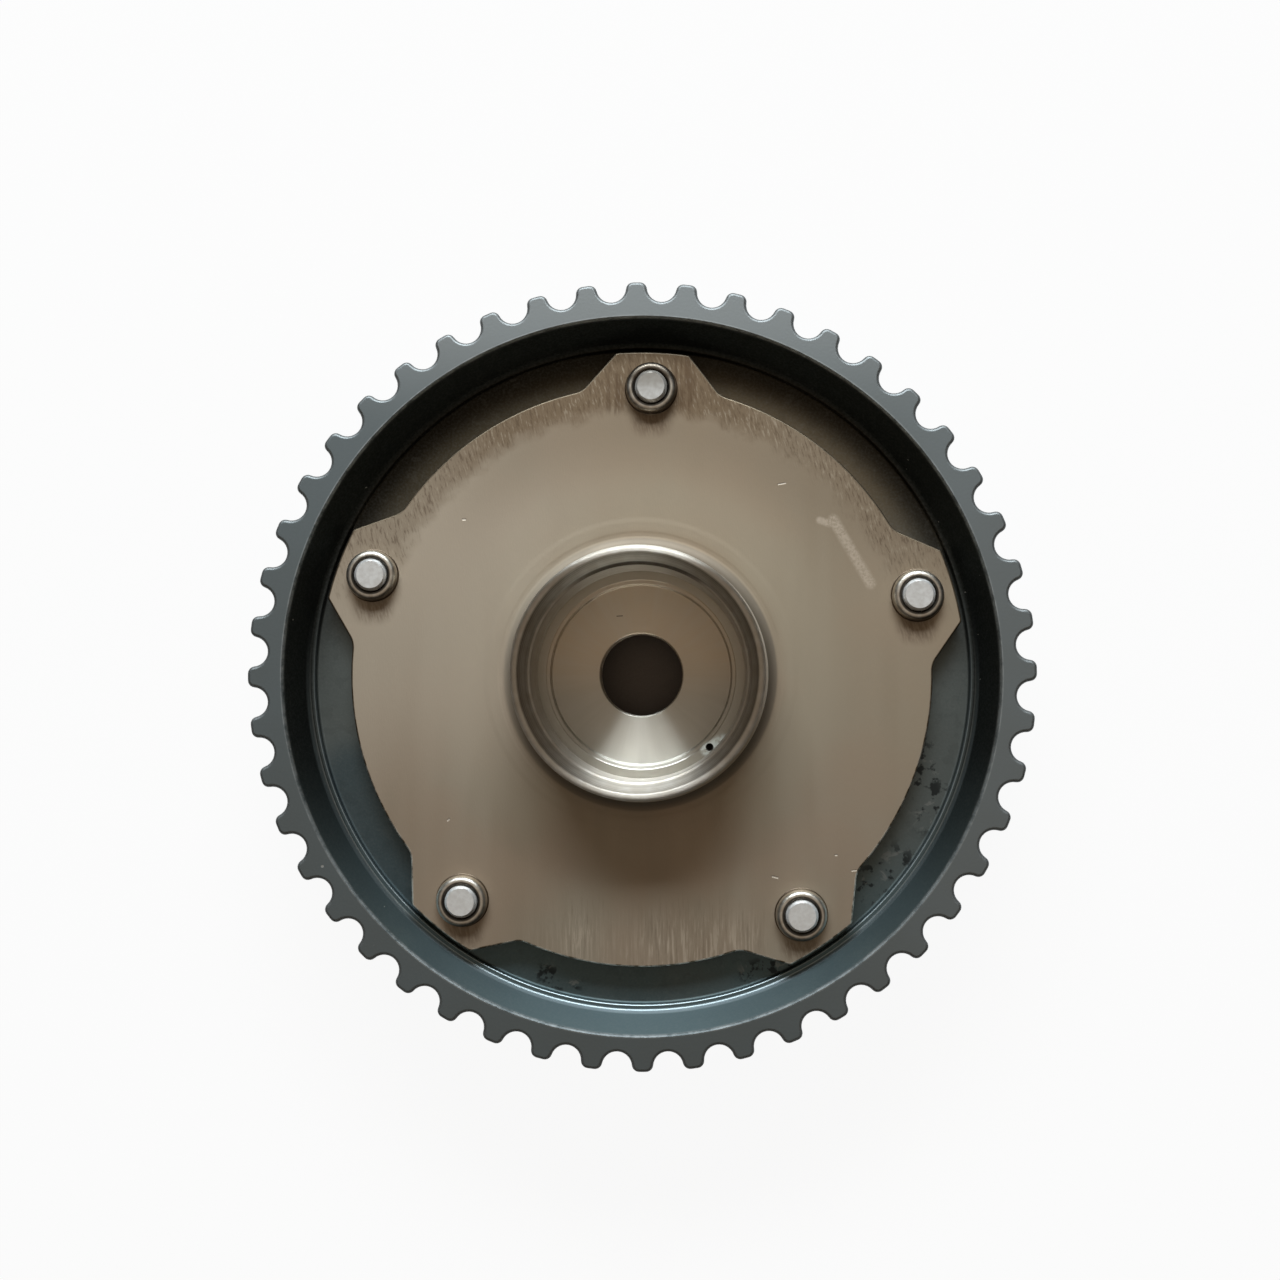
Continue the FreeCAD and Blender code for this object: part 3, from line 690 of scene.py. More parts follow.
def screw_thread(name, low, high, place):
    """Threaded shank: the crests follow a helix and fade into the end's bevel."""
    levels = int((high - low) / (THREAD_PITCH / THREAD_LEVELS))
    loops = []
    for level in range(levels + 1):
        height = low + (high - low) * level / levels
        outline = []
        for number in range(THREAD_SIDES):
            share = number / THREAD_SIDES
            phase = (height / THREAD_PITCH - share) % 1
            ridge = min(1, abs(2 * phase - 1) * CREST_WIDENING)
            radius = SCREW_RADIUS - THREAD_DEPTH * (1 - ridge)
            radius = min(radius, SCREW_RADIUS - THREAD_END_INSET + (high - height) * THREAD_END_SLOPE)
            x, y = polar(radius, FULL_TURN * share)
            outline.append((place[0] + x, place[1] + y))
        loops.append((outline, height))
    return stacked(name, loops)


def make_screw(number, place):
    low, high = screw_boxes[number - 1]
    seat = low.z + SCREW_HEAD_HEIGHT
    shank = screw_thread(f"cover_screw_detail_{number}", seat - 0.2, high.z, place)
    head = turned("head", rounded([
        (0, low.z, 0),
        (SCREW_HEAD_RADIUS, low.z, BROAD_EDGE),
        (SCREW_HEAD_RADIUS, seat, HEAD_SEAT_EDGE),
        (0, seat, 0),
    ]), SMALL_SIDES, place)
    combined(shank, [head], "UNION")
    socket = hexagon("socket", SCREW_SOCKET_WIDTH, low.z - PAST, low.z + SCREW_SOCKET_DEPTH, place)
    combined(shank, [socket], "DIFFERENCE")
    painted(shank, zinc_plate())
    placed(shank, "housing", f"cover_screw_{number}", THREAD_SHARP_ANGLE)


def make_plug():
    low, top = plug_low.z, front_low.z
    body = turned("closure_plug_detail", rounded([
        (0, low, 0),
        (PLUG_FLANGE_RADIUS, low, BROAD_EDGE),
        (PLUG_FLANGE_RADIUS, top, 0.1),
        (PLUG_THREAD_RADIUS, top, 0),
        (PLUG_THREAD_RADIUS, plug_high.z, PLAIN_EDGE),
        (PLUG_HOLLOW_RADIUS, plug_high.z, FINE_EDGE),
        (PLUG_HOLLOW_RADIUS, low + PLUG_HOLLOW_FLOOR, PLAIN_EDGE),
        (PLUG_BOSS_RADIUS, low + PLUG_HOLLOW_FLOOR, PLAIN_EDGE),
        (PLUG_BOSS_RADIUS, low + PLUG_BOSS_HEIGHT, PLAIN_EDGE),
        (0, low + PLUG_BOSS_HEIGHT, 0),
    ]))
    groove = ring_cutter(PLUG_SEAL_INNER, PLUG_SEAL_OUTER, top - PLUG_SEAL_DEPTH, top + SHORT_PAST, 128)
    cutters = [hexagon("socket", PLUG_SOCKET_WIDTH, low - PAST, low + PLUG_SOCKET_DEPTH), groove]
    combined(body, cutters, "DIFFERENCE")
    placed(painted(body, grained_finish(*PHOSPHATED)), "housing", "closure_plug")


def vane_cutters(low, high, seat, nose_floor):
    """Vane slots, each with an oil way and its pocket on either side."""
    ports = (
        (1, BOLT_HOLE_PORT_RADIUS, (seat + nose_floor) / 2),
        (-1, RECESS_PORT_RADIUS, nose_floor + RECESS_PORT_HEIGHT),
    )
    half = SLOT_WIDTH / 2
    beyond = HUB_RADIUS + LONG_PAST
    cutters = []
    for number in range(LOBE_COUNT):
        reach = Vector(polar(1, FIRST_VANE + number * LOBE_STEP))
        across = Vector((-reach.y, reach.x))
        corners = [(SLOT_FLOOR_RADIUS, -half), (beyond, -half), (beyond, half), (SLOT_FLOOR_RADIUS, half)]
        outline = [tuple(reach * out + across * side) for out, side in corners]
        cutters.append(stacked("slot", [(outline, low - PAST), (outline, high + PAST)]))
        for side, radius, height in ports:
            offset = across * side * PORT_OFFSET
            cutters.append(bar("port", Vector((*offset, height)), Vector((*reach, 0)), beyond, radius))
            low_side = reach * (HUB_RADIUS - PORT_POCKET_DEPTH)
            high_side = reach * (HUB_RADIUS + PAST)
            corners = (low_side, high_side, high_side + offset, low_side + offset)
            pocket = [tuple(corner) for corner in corners]
            cutters.append(stacked("port pocket", [(pocket, height - radius), (pocket, height + radius)]))
    return cutters


def lock_cutters(low, high):
    """Stepped bore of the lock pin and its vent in the rear face."""
    lock = polar(LOCK_CIRCLE, LOCK_ANGLE)
    vent = polar(VENT_CIRCLE, LOCK_ANGLE)
    head = LOCK_STEP_HEIGHT
    return [
        cylinder("pin bore", LOCK_BORE_RADIUS, low - PAST, head + SHORT_PAST, lock),
        cylinder("head bore", LOCK_HEAD_BORE_RADIUS, head, high + PAST, lock),
        cylinder("vent", VENT_RADIUS, head + VENT_START, high + PAST, vent, 32),
    ]


def make_rotor():
    low, high = rotor_low.z, rotor_high.z
    nose_floor = high - NOSE_DEPTH
    seat = nose_floor - BOLT_SEAT_THICKNESS
    body = turned("rotor_hub", rounded([
        (COUNTERBORE_RADIUS, low, PLAIN_EDGE),
        (HUB_RADIUS, low, FINE_EDGE),
        (HUB_RADIUS, high, FINE_EDGE),
        (NOSE_RADIUS + NOSE_BEVEL, high, NOSE_EDGE),
        (NOSE_RADIUS + NOSE_BEVEL - 0.16, high - 0.9 * NOSE_BEVEL_DEPTH, 0.04),
        (NOSE_RADIUS + 0.14, high - NOSE_BEVEL_DEPTH, 0.04),
        (NOSE_RADIUS, high - 2 * NOSE_BEVEL_DEPTH, NOSE_EDGE),
        (NOSE_RADIUS, nose_floor, FINE_EDGE),
        (BOLT_HOLE_RADIUS, nose_floor, PLAIN_EDGE),
        (BOLT_HOLE_RADIUS, seat, PLAIN_EDGE),
        (COUNTERBORE_RADIUS, seat, 0.4),
    ]))
    cutters = vane_cutters(low, high, seat, nose_floor) + lock_cutters(low, high)
    combined(body, cutters, "DIFFERENCE")
    placed(painted(body, turned_steel()), "rotor", "rotor")


class Nodes:
    """Short way to write a node material in millimetres of the part's own frame."""

    def __init__(self, name):
        self.material = bpy.data.materials.new(name)
        self.material.use_nodes = True
        self.tree = self.material.node_tree
        self.shader = self.tree.nodes["Principled BSDF"]
        self.tone = None
        coordinates = self.tree.nodes.new("ShaderNodeTexCoord").outputs
        scaled = {0: coordinates["Object"], "Scale": 1 / MM}
        self.place = self.node("VectorMath", scaled, operation="SCALE").outputs[0]
        self.x, self.y, self.z = self.node("SeparateXYZ", {0: self.place}).outputs
        facing = self.node("SeparateXYZ", {0: coordinates["Normal"]}).outputs
        self.facing_x, self.facing_y, self.facing_z = facing
        self.radius = self.length(self.x, self.y)
        self.angle = self.math("ARCTAN2", self.y, self.x)

    def link(self, source, target):
        if isinstance(source, (int, float, tuple)):
            target.default_value = source
        else:
            self.tree.links.new(source, target)

    def node(self, kind, inputs, **settings):
        """New node with its settings, and with its inputs by name or number."""
        node = self.tree.nodes.new("ShaderNode" + kind)
        for name, value in settings.items():
            setattr(node, name, value)
        for key, value in inputs.items():
            self.link(value, node.inputs[key])
        return node

    def math(self, operation, *values):
        return self.node("Math", dict(enumerate(values)), operation=operation).outputs[0]

    def times(self, *factors):
        product = factors[0]
        for factor in factors[1:]:
            product = self.math("MULTIPLY", product, factor)
        return product

    def plus(self, first, second):
        return self.math("ADD", first, second)

    def minus(self, first, second):
        return self.math("SUBTRACT", first, second)

    def larger(self, first, second):
        return self.math("MAXIMUM", first, second)

    def length(self, east, north):
        return self.math("SQRT", self.plus(self.math("POWER", east, 2), self.math("POWER", north, 2)))

    def distance(self, places):
        """Distance to the closest of some upright axes."""
        closest = None
        for x, y in places:
            reach = self.length(self.minus(self.x, x), self.minus(self.y, y))
            closest = reach if closest is None else self.math("MINIMUM", closest, reach)
        return closest

    def combine(self, *values):
        return self.node("CombineXYZ", dict(enumerate(values))).outputs[0]

    def stretched(self, x, y):
        return self.combine(self.times(self.x, x), self.times(self.y, y), self.z)

    def noise(self, scale, detail=3, roughness=0.5, place=None, distortion=0.0):
        """Noise between 0 and 1, with scale in cells per millimetre."""
        inputs = {"Vector": place or self.place, "Scale": scale, "Detail": detail, "Roughness": roughness}
        return self.node("TexNoise", {**inputs, "Distortion": distortion}).outputs[0]

    def ramp(self, value, low, high, start=0.0, end=1.0):
        """Smooth step of a value from low to high."""
        inputs = {"Value": value, "From Min": low, "From Max": high, "To Min": start, "To Max": end}
        return self.node("MapRange", inputs, interpolation_type="SMOOTHSTEP").outputs[0]

    def mix(self, share, first, second):
        """Colour mix."""
        node = self.node("Mix", {}, data_type="RGBA")
        sockets = [socket for socket in node.inputs if socket.enabled]
        self.link(share, sockets[0])
        for value, socket in zip((first, second), sockets[-2:]):
            self.link((*value, 1) if isinstance(value, tuple) else value, socket)
        return [socket for socket in node.outputs if socket.enabled][0]

    def lay(self, mask, colour, share=None):
        """Lays a colour over the tone as far as a mask goes, or by a share of the mask."""
        if share is not None:
            mask = self.times(mask, share)
        self.tone = self.mix(mask, self.tone, colour)

    def bump(self, height, strength, distance):
        inputs = {"Strength": strength, "Distance": distance * MM, "Height": height}
        self.link(self.node("Bump", inputs).outputs[0], self.shader.inputs["Normal"])

    def finish(self, rough, metallic=1.0, lined=0.0):
        """Sets the shader; lined is how far the shine spreads across fine grooves."""
        values = {"Base Color": self.tone, "Roughness": rough, "Metallic": metallic, "Anisotropic": lined}
        for name, value in values.items():
            self.link(value, self.shader.inputs[name])
        return self.material


def round_grinding(n):
    """Grooves run around the axis, so the shine spreads along the radius."""
    tangent = n.node("Tangent", {}, direction_type="RADIAL", axis="Z")
    n.link(tangent.outputs[0], n.shader.inputs["Tangent"])
    n.shader.inputs["Anisotropic Rotation"].default_value = 0.25


def band(n, start, end, half_width):
    """Mask of a soft straight mark between two points on the part, seen from above."""
    along = Vector(end) - Vector(start)
    length = along.length
    along /= length
    east = n.minus(n.x, start[0])
    north = n.minus(n.y, start[1])
    reach = n.plus(n.times(east, along.x), n.times(north, along.y))
    aside = n.minus(n.times(east, along.y), n.times(north, along.x))
    from_middle = n.math("ABSOLUTE", n.minus(reach, length / 2))
    beyond = n.larger(n.minus(from_middle, length / 2), 0)
    return n.ramp(n.length(aside, beyond), half_width, half_width * 0.3)


def bands_of(n, rows, least=0.0):
    """Largest of some bands, each given by start, end and half width."""
    for row in rows:
        least = n.larger(least, band(n, *row))
    return least


def blued_steel():
    """Steam-blued sintered steel of the pulley: smoother inside the rim, stained on the floor, with
    painted shade and highlights.
    """
    n = Nodes("blued sintered steel")
    grain = n.noise(2.6, 4, 0.6)
    cloud = n.noise(0.07, 3, 0.5)
    n.tone = n.mix(n.ramp(n.y, -20, -40), FLOOR_GREY, FLOOR_TEAL)
    n.lay(n.ramp(cloud, 0.4, 0.7, 0.0, 0.3), PALE_CLOUD)
    # Olive stain on the upper floor, darker towards the left as painted shade
    olive = n.mix(n.ramp(n.x, -25, 30), OLIVE_SHADE_DARK, OLIVE)
    n.lay(n.ramp(n.y, 8, 30), olive)
    blue = band(n, (-45, -16), (-35, -35), 8)
    n.lay(blue, DEEP_BLUE, 0.6)
    # Painted shadow: the floor darkened near the wall in the upper part, where the rim's shadow falls
    corner = n.times(n.ramp(n.radius, 45.6, 50.9), n.ramp(n.y, -10, 25))
    n.lay(corner, RIM_SHADOW_DARK, 0.8)
    # Painted light and shade: the wall teal towards the bottom, which faces the window, and black towards
    # the top
    side = n.mix(n.ramp(n.y, -38, -8), WALL_PAINTED_LIGHT_TEAL, WALL_PAINTED_SHADE_BLACK)
    n.lay(n.ramp(n.radius, 51.0, 52.4), side)
    # Painted sheen: the rim face lighter towards the top and the right
    face = n.mix(n.ramp(n.y, 36, 56), FACE_BLUE, FACE_TOP_SHEEN_GREY)
    face = n.mix(n.ramp(n.x, 15, 55, 0.0, 0.45), face, FACE_RIGHT_SHEEN)
    n.lay(n.ramp(n.radius, 54.6, 55.2), face)
    n.lay(n.ramp(grain, 0.35, 0.75, 0.0, 0.12), GRAIN_GREY)
    worn = n.times(
        n.ramp(n.radius, 54.72, 54.9),
        n.ramp(n.radius, 55.4, 55.2),
        n.ramp(n.noise(0.5, 4, 0.7), 0.30, 0.62),
        n.ramp(n.z, 26.3, 26.6),
    )
    n.lay(worn, WORN_GREY, 0.6)
    on_floor = n.times(n.ramp(n.radius, 51.5, 51.0), n.ramp(n.z, 19.5, 19.3))
    smudged = n.times(bands_of(n, FLOOR_SMUDGES, 0.10), on_floor)
    dark = n.ramp(n.noise(0.42, 4, 0.6), 0.53, 0.60)
    pale = n.ramp(n.noise(0.33, 4, 0.6, distortion=1.5), 0.58, 0.66)
    n.lay(n.times(smudged, dark, 0.85), OIL_SPOT)
    n.lay(n.times(smudged, pale, 0.5), PALE_SMUDGE)
    chips = n.times(n.ramp(n.noise(0.9, 2, 0.4), 0.785, 0.80), n.ramp(n.radius, 51.5, 52.5))
    n.lay(chips, CHIP_GREY)
    n.bump(n.plus(grain, n.times(chips, -0.8)), 0.25, 0.04)
    wall = n.times(n.ramp(n.radius, 51.6, 52.2), n.ramp(n.radius, 54.95, 54.8))
    rough = n.plus(n.ramp(wall, 0, 1, 0.56, 0.59), n.ramp(cloud, 0.2, 0.8, -0.03, 0.04))
    # Polished ledge edges, smoother, and lighter towards the bottom as painted highlight
    ledge = n.times(
        n.ramp(n.radius, 51.25, 51.4),
        n.ramp(n.radius, 52.75, 52.5),
        n.ramp(n.z, 19.6, 19.9),
        n.ramp(n.y, 12, -25),
        n.ramp(n.facing_z, 0.995, 0.96),
    )
    n.lay(ledge, LEDGE_HIGHLIGHT_BLUE, 0.8)
    rough = n.minus(rough, n.times(ledge, 0.16))
    # Painted highlight: the slanted bevels of the teeth lighter and a little smoother
    slanted = n.times(n.ramp(n.facing_z, 0.1, 0.35), n.ramp(n.facing_z, 0.99, 0.93))
    bevel = n.times(slanted, n.ramp(n.radius, 55.2, 55.6))
    n.lay(bevel, BEVEL_HIGHLIGHT_GREY, 0.85)
    rough = n.minus(rough, n.times(bevel, 0.04))
    round_grinding(n)
    return n.finish(rough, 1.0, n.times(wall, 0.72))


def cover_steel():
    """Satin stained plate: upright brushing, a rubbed edge, streaks, a scuff and small nicks."""
    n = Nodes("rear cover steel")
    bands = n.noise(0.16, 2, 0.5, n.stretched(1.0, 0.12))
    cloud = n.noise(0.05, 3, 0.5)
    grain = n.noise(1.0, 3, 0.6, n.stretched(5.0, 1.2))
    n.tone = n.mix(n.ramp(bands, 0.3, 0.7), PLATE_BROWN, PLATE_SAND)
    n.lay(n.ramp(cloud, 0.35, 0.65, 0.0, 0.7), PLATE_TAN)
    n.lay(n.ramp(n.plus(n.x, n.y), 0, 40, 0.0, 0.5), PLATE_GOLD)
    around = n.times(n.ramp(n.radius, 21.5, 23.5), n.ramp(n.radius, 34, 27))
    n.lay(around, NECK_HALO, 0.4)
    root = n.times(n.ramp(n.radius, 22.0, 21.4), n.ramp(n.z, 22.82, 22.9))
    n.lay(root, ROOT_BROWN, 0.75)
    pale = n.times(n.ramp(n.x, 2, -30), n.ramp(n.y, -26, 0))
    n.lay(pale, PALE_SAND, 0.75)
    # Painted shade: a redder, darker tint where the neck's shadow falls below it
    neck_shadow_tint = band(n, (-9, -26), (9, -26), 10)
    n.lay(neck_shadow_tint, NECK_SHADOW_RUDDY, 0.3)

    dusky = n.times(n.ramp(n.radius, 29, 40), n.ramp(n.y, 10, 30), n.ramp(n.x, -38, -16))
    n.lay(dusky, DUSK_BROWN, 0.5)
    slant = n.plus(n.x, n.times(n.y, 0.25))
    strokes = n.noise(1.0, 4, 0.65, n.combine(n.times(slant, 2.8), n.times(n.y, 0.6), n.z))
    ragged = n.plus(n.radius, n.times(n.minus(n.noise(0.3, 3), 0.5), 4.0))
    rubbed = n.times(n.ramp(ragged, 39.8, 42.8), n.ramp(n.y, 6, 24))
    n.lay(rubbed, DUSK_BROWN, 0.6)
    browned = n.times(rubbed, n.ramp(n.x, -36, -20), n.ramp(n.x, 26, 12))
    n.lay(browned, RUB_BROWN, 0.45)
    n.lay(rubbed, STROKE_DARK, n.ramp(strokes, 0.48, 0.36, 0.0, 0.55))
    n.lay(rubbed, STROKE_PALE, n.ramp(strokes, 0.54, 0.68, 0.0, 0.6))
    smears = n.noise(1.0, 3, 0.6, n.stretched(2.2, 0.1))
    lobe_streaks = n.times(bands_of(n, LOBE_STREAKS), n.ramp(smears, 0.42, 0.56))
    n.lay(lobe_streaks, SMEAR_BROWN, 0.6)
    # Painted shadow below each collar, on the side away from the light, broken into a brown smear by the
    # strokes
    for x, y in screw_places():
        foot = band(n, (x - 1, y - 5.2), (x + 1, y - 5.2), 3)
        n.lay(foot, COLLAR_SHADOW_BROWN, n.ramp(strokes, 0.35, 0.6, 0.2, 0.55))

    streaks = n.noise(1.0, 4, 0.65, n.stretched(2.6, 0.16))
    window = n.times(n.ramp(n.x, -22, -12), n.ramp(n.x, 21, 16))
    groups = n.noise(0.16, 1, 0.5, n.combine(n.x, n.times(n.y, 0.3), 4.0))
    window = n.times(window, n.ramp(groups, 0.38, 0.58, 0.25, 1.0))
    streaked = n.times(n.ramp(n.plus(n.y, n.times(streaks, 10)), -29, -36), window)
    n.lay(streaked, SAND_WHITE, n.ramp(streaks, 0.50, 0.60, 0.0, 0.65))
    n.lay(streaked, STREAK_DARK, n.ramp(streaks, 0.46, 0.36, 0.0, 0.4))
    scuff = n.times(bands_of(n, PLATE_SCUFF), n.ramp(n.noise(2.4, 4, 0.7), 0.36, 0.60, 0.35, 1.0))
    n.lay(scuff, SCUFF_PALE, 0.62)
    nicks = bands_of(n, PLATE_NICKS)
    n.lay(nicks, NICK_BRIGHT, 0.6)

    swell = n.times(n.ramp(n.radius, 21.9, 22.4), n.ramp(n.radius, 24.6, 23.6))
    height = n.plus(n.times(grain, 0.2), n.times(swell, 0.45))
    height = n.plus(height, n.times(scuff, -0.1))
    height = n.plus(height, n.times(nicks, -0.8))
    n.bump(height, 0.5, 0.12)
    return n.finish(n.ramp(bands, 0.3, 0.7, 0.60, 0.66))


def neck_steel():
    """Ground and polished neck with fine rings around it."""
    n = Nodes("neck steel")
    along = n.plus(n.radius, n.z)
    rings = n.noise(5.0, 2, 0.6, n.combine(along, 0.0, 0.0))
    stain = n.noise(0.5, 3, 0.5)
    n.tone = n.mix(n.ramp(stain, 0.35, 0.7), (0.60, 0.56, 0.49), (0.68, 0.65, 0.59))
    lines = n.noise(1.9, 2, 0.6, n.combine(along, 3.0, 0.0))
    inked = n.times(n.ramp(lines, 0.50, 0.40), n.ramp(n.z, 34.5, 35.3, 0.2, 0.6))
    n.lay(inked, (0.26, 0.225, 0.18))
    lead_in_end = n.math("ABSOLUTE", n.minus(n.z, cover_high.z - LEAD_IN_DEPTH))
    shadow_line = n.times(n.ramp(lead_in_end, 0.7, 0.2), n.ramp(n.y, 11.5, 15.8))
    shadow_line = n.times(shadow_line, n.ramp(n.radius, 17.2, 16.9))
    n.lay(shadow_line, (0.07, 0.06, 0.045), 0.85)
    outside = n.times(n.ramp(n.radius, 18.5, 18.8), n.ramp(n.z, 35.5, 34.9))
    n.lay(outside, SAND_WHITE, 0.8)
    n.bump(rings, 0.10, 0.03)
    round_grinding(n)
    lined = n.minus(0.95, n.times(outside, 0.6))
    rough = n.plus(n.ramp(rings, 0.2, 0.8, 0.40, 0.45), n.times(outside, 0.15))
    bare = n.minus(1.0, n.times(outside, 0.5))
    return n.finish(rough, bare, lined)


def worn_edge():
    """Rounded upper edge of the cover plate, rubbed bright in places."""
    n = Nodes("worn edge")
    rub = n.noise(0.6, 3, 0.6)
    bright = n.times(n.ramp(rub, 0.35, 0.6), n.ramp(n.y, 5, -30))
    n.tone = n.mix(bright, (0.22, 0.18, 0.13), (0.80, 0.76, 0.68))
    n.bump(rub, 0.2, 0.03)
    return n.finish(n.ramp(rub, 0.3, 0.7, 0.42, 0.55))


def collar_steel():
    """Formed collars, brighter than the plate, with painted shade: dull brown at their feet, dark in the
    gap round each screw, on the side away from the light and over the top collar.
    """
    n = Nodes("collar steel")
    stain = n.noise(1.2, 4, 0.6)
    n.tone = n.mix(n.ramp(stain, 0.35, 0.65), (0.60, 0.56, 0.49), (0.72, 0.69, 0.62))
    # Painted shade: the feet of the collars dark brown
    n.lay(n.ramp(n.z, 23.6, 22.9), (0.20, 0.16, 0.12))
    # Painted shade in the chamfered gap round each screw
    from_screw = n.distance(screw_places())
    n.lay(n.ramp(from_screw, 3.15, 2.95, 0.0, 0.9), (0.04, 0.035, 0.03))
    shaded = n.minus(n.times(n.facing_x, 0.5), n.facing_y)
    n.lay(n.ramp(shaded, 0.3, 0.9, 0.0, 0.8), (0.10, 0.08, 0.06))
    # Painted shade over the top of the top collar
    n.lay(n.ramp(n.y, 44.8, 46.4, 0.0, 0.85), (0.09, 0.07, 0.05))
    n.bump(stain, 0.1, 0.03)
    return n.finish(n.ramp(stain, 0.3, 0.7, 0.34, 0.42))


def front_cover_steel():
    n = Nodes("front cover steel")
    rings = n.noise(1.5, 3, 0.6, n.combine(n.radius, n.times(n.angle, 0.4), 0.0))
    cloud = n.noise(0.05, 3)
    n.tone = n.mix(n.ramp(cloud, 0.3, 0.7), (0.48, 0.43, 0.36), (0.60, 0.56, 0.49))
    n.bump(rings, 0.2, 0.03)
    return n.finish(n.ramp(rings, 0.2, 0.8, 0.30, 0.42))


def zinc_plate():
    n = Nodes("zinc plate")
    spots = n.noise(1.8, 4, 0.6)
    n.tone = n.mix(n.ramp(spots, 0.35, 0.7), (0.82, 0.83, 0.82), (0.90, 0.91, 0.90))
    # Painted shade: the top screw darker, most towards its top
    top_screw_shade = n.times(n.ramp(n.y, 38, 40), n.ramp(n.y, 43.0, 46.2, 0.3, 0.85))
    n.lay(top_screw_shade, (0.36, 0.34, 0.30))
    n.bump(spots, 0.25, 0.03)
    return n.finish(n.ramp(spots, 0.3, 0.7, 0.36, 0.50), 0.55)


def grained_finish(name, grain, tones, relief, metallic, rough):
    """Plain finish whose tone, relief and roughness follow one grain: scale, detail, roughness."""
    n = Nodes(name)
    share = n.noise(*grain)
    n.tone = n.mix(share, *tones)
    if relief:
        n.bump(share, *relief)
    return n.finish(n.ramp(share, 0.3, 0.7, *rough), metallic)


def turned_steel():
    """Fine turned face of the rotor, with a scratch, painted shade in the oil hole, the burr beside it and
    painted reflection tones.
    """
    n = Nodes("turned steel")
    rings = n.noise(7.0, 2, 0.6, n.combine(n.radius, n.z, 0.0))
    rays = n.noise(1.0, 3, 0.6, n.combine(n.times(n.angle, 9.0), n.times(n.radius, 0.05), 0.0))
    cloud = n.noise(0.12, 3)
    # Painted reflection: the face warm in its top half and neutral towards the bottom, where the shine
    # falls
    n.tone = n.mix(n.ramp(n.y, -6, 4), (0.55, 0.54, 0.49), (0.70, 0.60, 0.47))
    n.lay(n.ramp(cloud, 0.3, 0.7, 0.0, 0.3), (0.66, 0.63, 0.57))
    n.lay(n.ramp(rays, 0.35, 0.7, 0.0, 0.16), (0.72, 0.70, 0.65))
    outside = n.ramp(n.radius, 14.9, 15.1)
    n.lay(outside, (0.46, 0.455, 0.41), 0.6)
    vent = Vector(polar(VENT_CIRCLE, LOCK_ANGLE))
    away = Vector(polar(1, LOCK_ANGLE))
    along = Vector((-away.y, away.x))
    burr = band(n, vent - along * 0.6, vent + along * 2.2 + away * 0.6, 1.35)
    burr = n.times(burr, n.ramp(n.noise(1.6, 4, 0.6), 0.36, 0.52), n.ramp(n.z, 18.7, 19.0))
    n.lay(burr, (0.62, 0.66, 0.62), 0.8)
    # Painted shade inside the oil hole
    vent_hole_shade = n.times(band(n, vent, vent + away * 0.02, 1.1), n.ramp(n.z, 19.12, 18.9))
    n.lay(vent_hole_shade, (0.02, 0.018, 0.016))
    scratch = band(n, (-3.9, 9.3), (-3.0, 9.35), 0.1)
    n.lay(scratch, (0.12, 0.09, 0.07))
    n.bump(n.plus(rings, n.times(burr, 0.6)), 0.06, 0.03)
    round_grinding(n)
    rough = n.plus(n.ramp(rings, 0.2, 0.8, 0.29, 0.33), n.times(burr, 0.2))
    bare = n.minus(1.0, n.times(burr, 0.7))
    lined = n.minus(1.0, n.times(outside, 0.3))
    return n.finish(rough, bare, lined)


def ground_steel():
    n = Nodes("ground steel")
    lines = n.noise(3.0, 3, 0.6, n.combine(n.times(n.z, 3.0), n.radius, n.angle))
    n.bump(lines, 0.15, 0.02)
    n.tone = (0.62, 0.61, 0.59, 1)
    return n.finish(n.ramp(lines, 0.2, 0.8, 0.22, 0.34))


def dress_inner_nodes():
    """Finishes of the carried-over solids that stay as they are."""
    finishes = {
        "hardened_steel": ground_steel(),
        "vane_steel": ground_steel(),
        "spring_steel": grained_finish(*SPRING),
        "seal_rubber": grained_finish(*RUBBER),
        "seat_plastic": grained_finish(*PLASTIC),
    }
    for row in frame["record"]["subparts"]:
        finish = finishes.get(row["material_slot"])
        if finish is None:
            continue
        node = frame["nodes"][row["node"]]
        node.data.materials.clear()
        node.data.materials.append(finish)


def split_for_camera(tree, share, usual, seen, output):
    """Gives the camera a share of its own shader, and all other rays the usual one."""
    rays = tree.nodes.new("ShaderNodeLightPath")
    scaled = tree.nodes.new("ShaderNodeMath")
    scaled.operation = "MULTIPLY"
    scaled.inputs[1].default_value = share
    mixer = tree.nodes.new("ShaderNodeMixShader")
    tree.links.new(rays.outputs["Is Camera Ray"], scaled.inputs[0])
    for number, node in enumerate((scaled, usual, seen)):
        tree.links.new(node.outputs[0], mixer.inputs[number])
    tree.links.new(mixer.outputs[0], output.inputs["Surface"])


def make_floor():
    """White sweep: mostly its own white to the camera, with the part's shadow left in it."""
    half = FLOOR_HALF_SIZE
    corners = [(x, y, -FLOOR_GAP) for x, y in ((-half, -half), (half, -half), (half, half), (-half, half))]
    floor = mesh_object("floor", corners, [[0, 1, 2, 3]])
    material = bpy.data.materials.new("white floor")
    material.use_nodes = True
    tree = material.node_tree
    shader = tree.nodes["Principled BSDF"]
    shader.inputs["Base Color"].default_value = (0.86, 0.86, 0.86, 1)
    shader.inputs["Roughness"].default_value = 0.9
    shader.inputs["Specular IOR Level"].default_value = 0.0
    glow = tree.nodes.new("ShaderNodeEmission")
    glow.inputs["Strength"].default_value = 1.0
    glow.inputs["Color"].default_value = (1.0, 1.0, 1.0, 1)
    split_for_camera(tree, FLOOR_OWN_WHITE, shader, glow, tree.nodes["Material Output"])
    floor.data.materials.append(material)


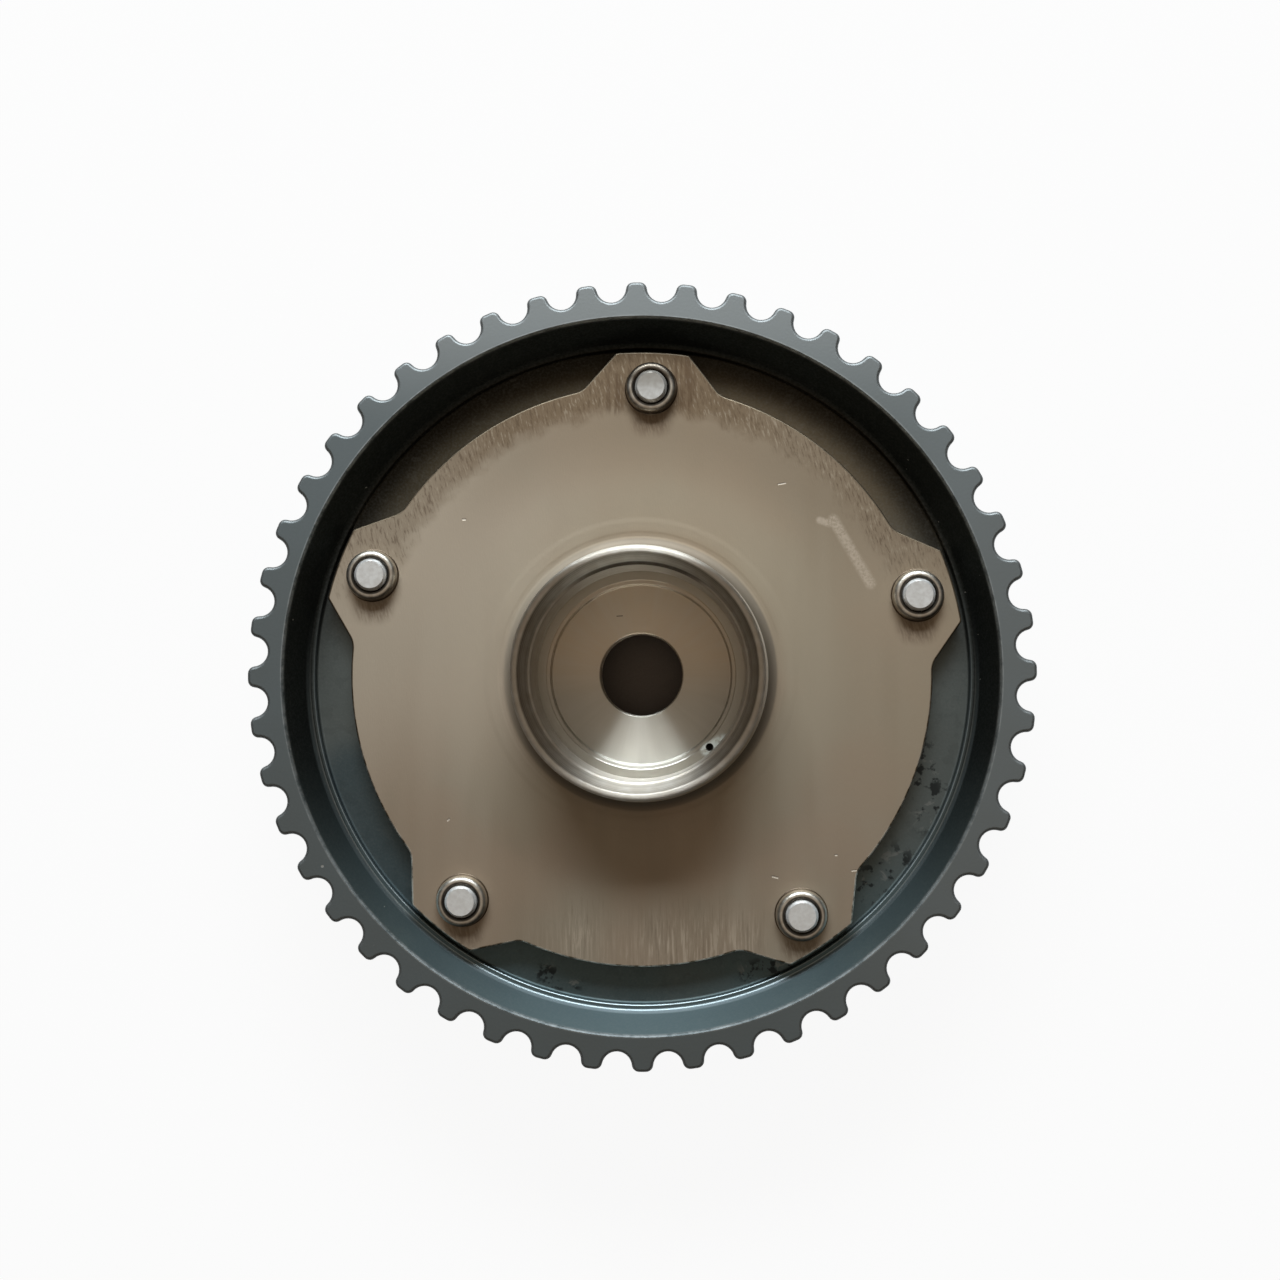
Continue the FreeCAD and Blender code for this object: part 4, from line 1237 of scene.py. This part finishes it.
def area_light(name, place, size, energy, colour):
    """Light that faces the middle of the part."""
    light = bpy.data.lights.new(name, "AREA")
    light.shape = "RECTANGLE"
    light.size, light.size_y = size
    light.energy = energy
    light.color = colour
    holder = linked_object(name, light)
    holder.location = place
    aim = Vector(LIGHT_TARGET) - Vector(place)
    holder.rotation_euler = aim.to_track_quat("-Z", "Y").to_euler()


def make_light():
    """One soft window beyond the top of the picture, under a warm ceiling in a dark room."""
    daylight = (0.90, 0.96, 1.0)
    area_light("window", WINDOW_PLACE, WINDOW_SIZE, WINDOW_POWER, daylight)
    area_light("open pane", OPEN_PANE_PLACE, OPEN_PANE_SIZE, OPEN_PANE_POWER, daylight)
    world = bpy.data.worlds.new("room")
    bpy.context.scene.world = world
    world.use_nodes = True
    tree = world.node_tree
    direction = tree.nodes.new("ShaderNodeSeparateXYZ")
    tree.links.new(tree.nodes.new("ShaderNodeTexCoord").outputs["Generated"], direction.inputs[0])
    ceiling = tree.nodes.new("ShaderNodeMapRange")
    ceiling.interpolation_type = "SMOOTHSTEP"
    limits = {"From Min": 0.62, "From Max": 0.93, "To Min": WALL_GLOW, "To Max": CEILING_GLOW}
    for name, number in limits.items():
        ceiling.inputs[name].default_value = number
    tree.links.new(direction.outputs["Z"], ceiling.inputs["Value"])
    room = tree.nodes["Background"]
    room.inputs["Color"].default_value = (1.0, 0.82, 0.64, 1)
    tree.links.new(ceiling.outputs[0], room.inputs["Strength"])
    backdrop = tree.nodes.new("ShaderNodeBackground")
    backdrop.inputs["Color"].default_value = (0.97, 0.97, 0.97, 1)
    split_for_camera(tree, 1.0, room, backdrop, tree.nodes["World Output"])


def make_camera():
    """Camera almost straight above the camshaft side, as in the photograph."""
    camera_data = bpy.data.cameras.new("camera")
    camera_data.lens = CAMERA_LENS
    camera_data.sensor_width = 36.0
    camera_data.clip_start = 0.01
    camera = linked_object("camera", camera_data)
    rim_middle = Vector((0, 0, pulley_high.z))
    place = (rim_middle + Vector(CAMERA_PLACE)) * MM
    target = (rim_middle + Vector(CAMERA_TARGET)) * MM
    view = (target - place).normalized()
    across = view.cross(Vector((0, 1, 0))).normalized()
    turn = Matrix((across, across.cross(view), -view)).transposed()
    camera.matrix_world = Matrix.Translation(place) @ turn.to_4x4()
    bpy.context.scene.camera = camera


make_pulley()
make_rear_cover()
make_front_cover()
for number, place in enumerate(screw_places(), 1):
    make_screw(number, place)
make_plug()
make_rotor()
dress_inner_nodes()
make_floor()
make_light()
make_camera()
bpy.context.scene.view_settings.view_transform = "Standard"
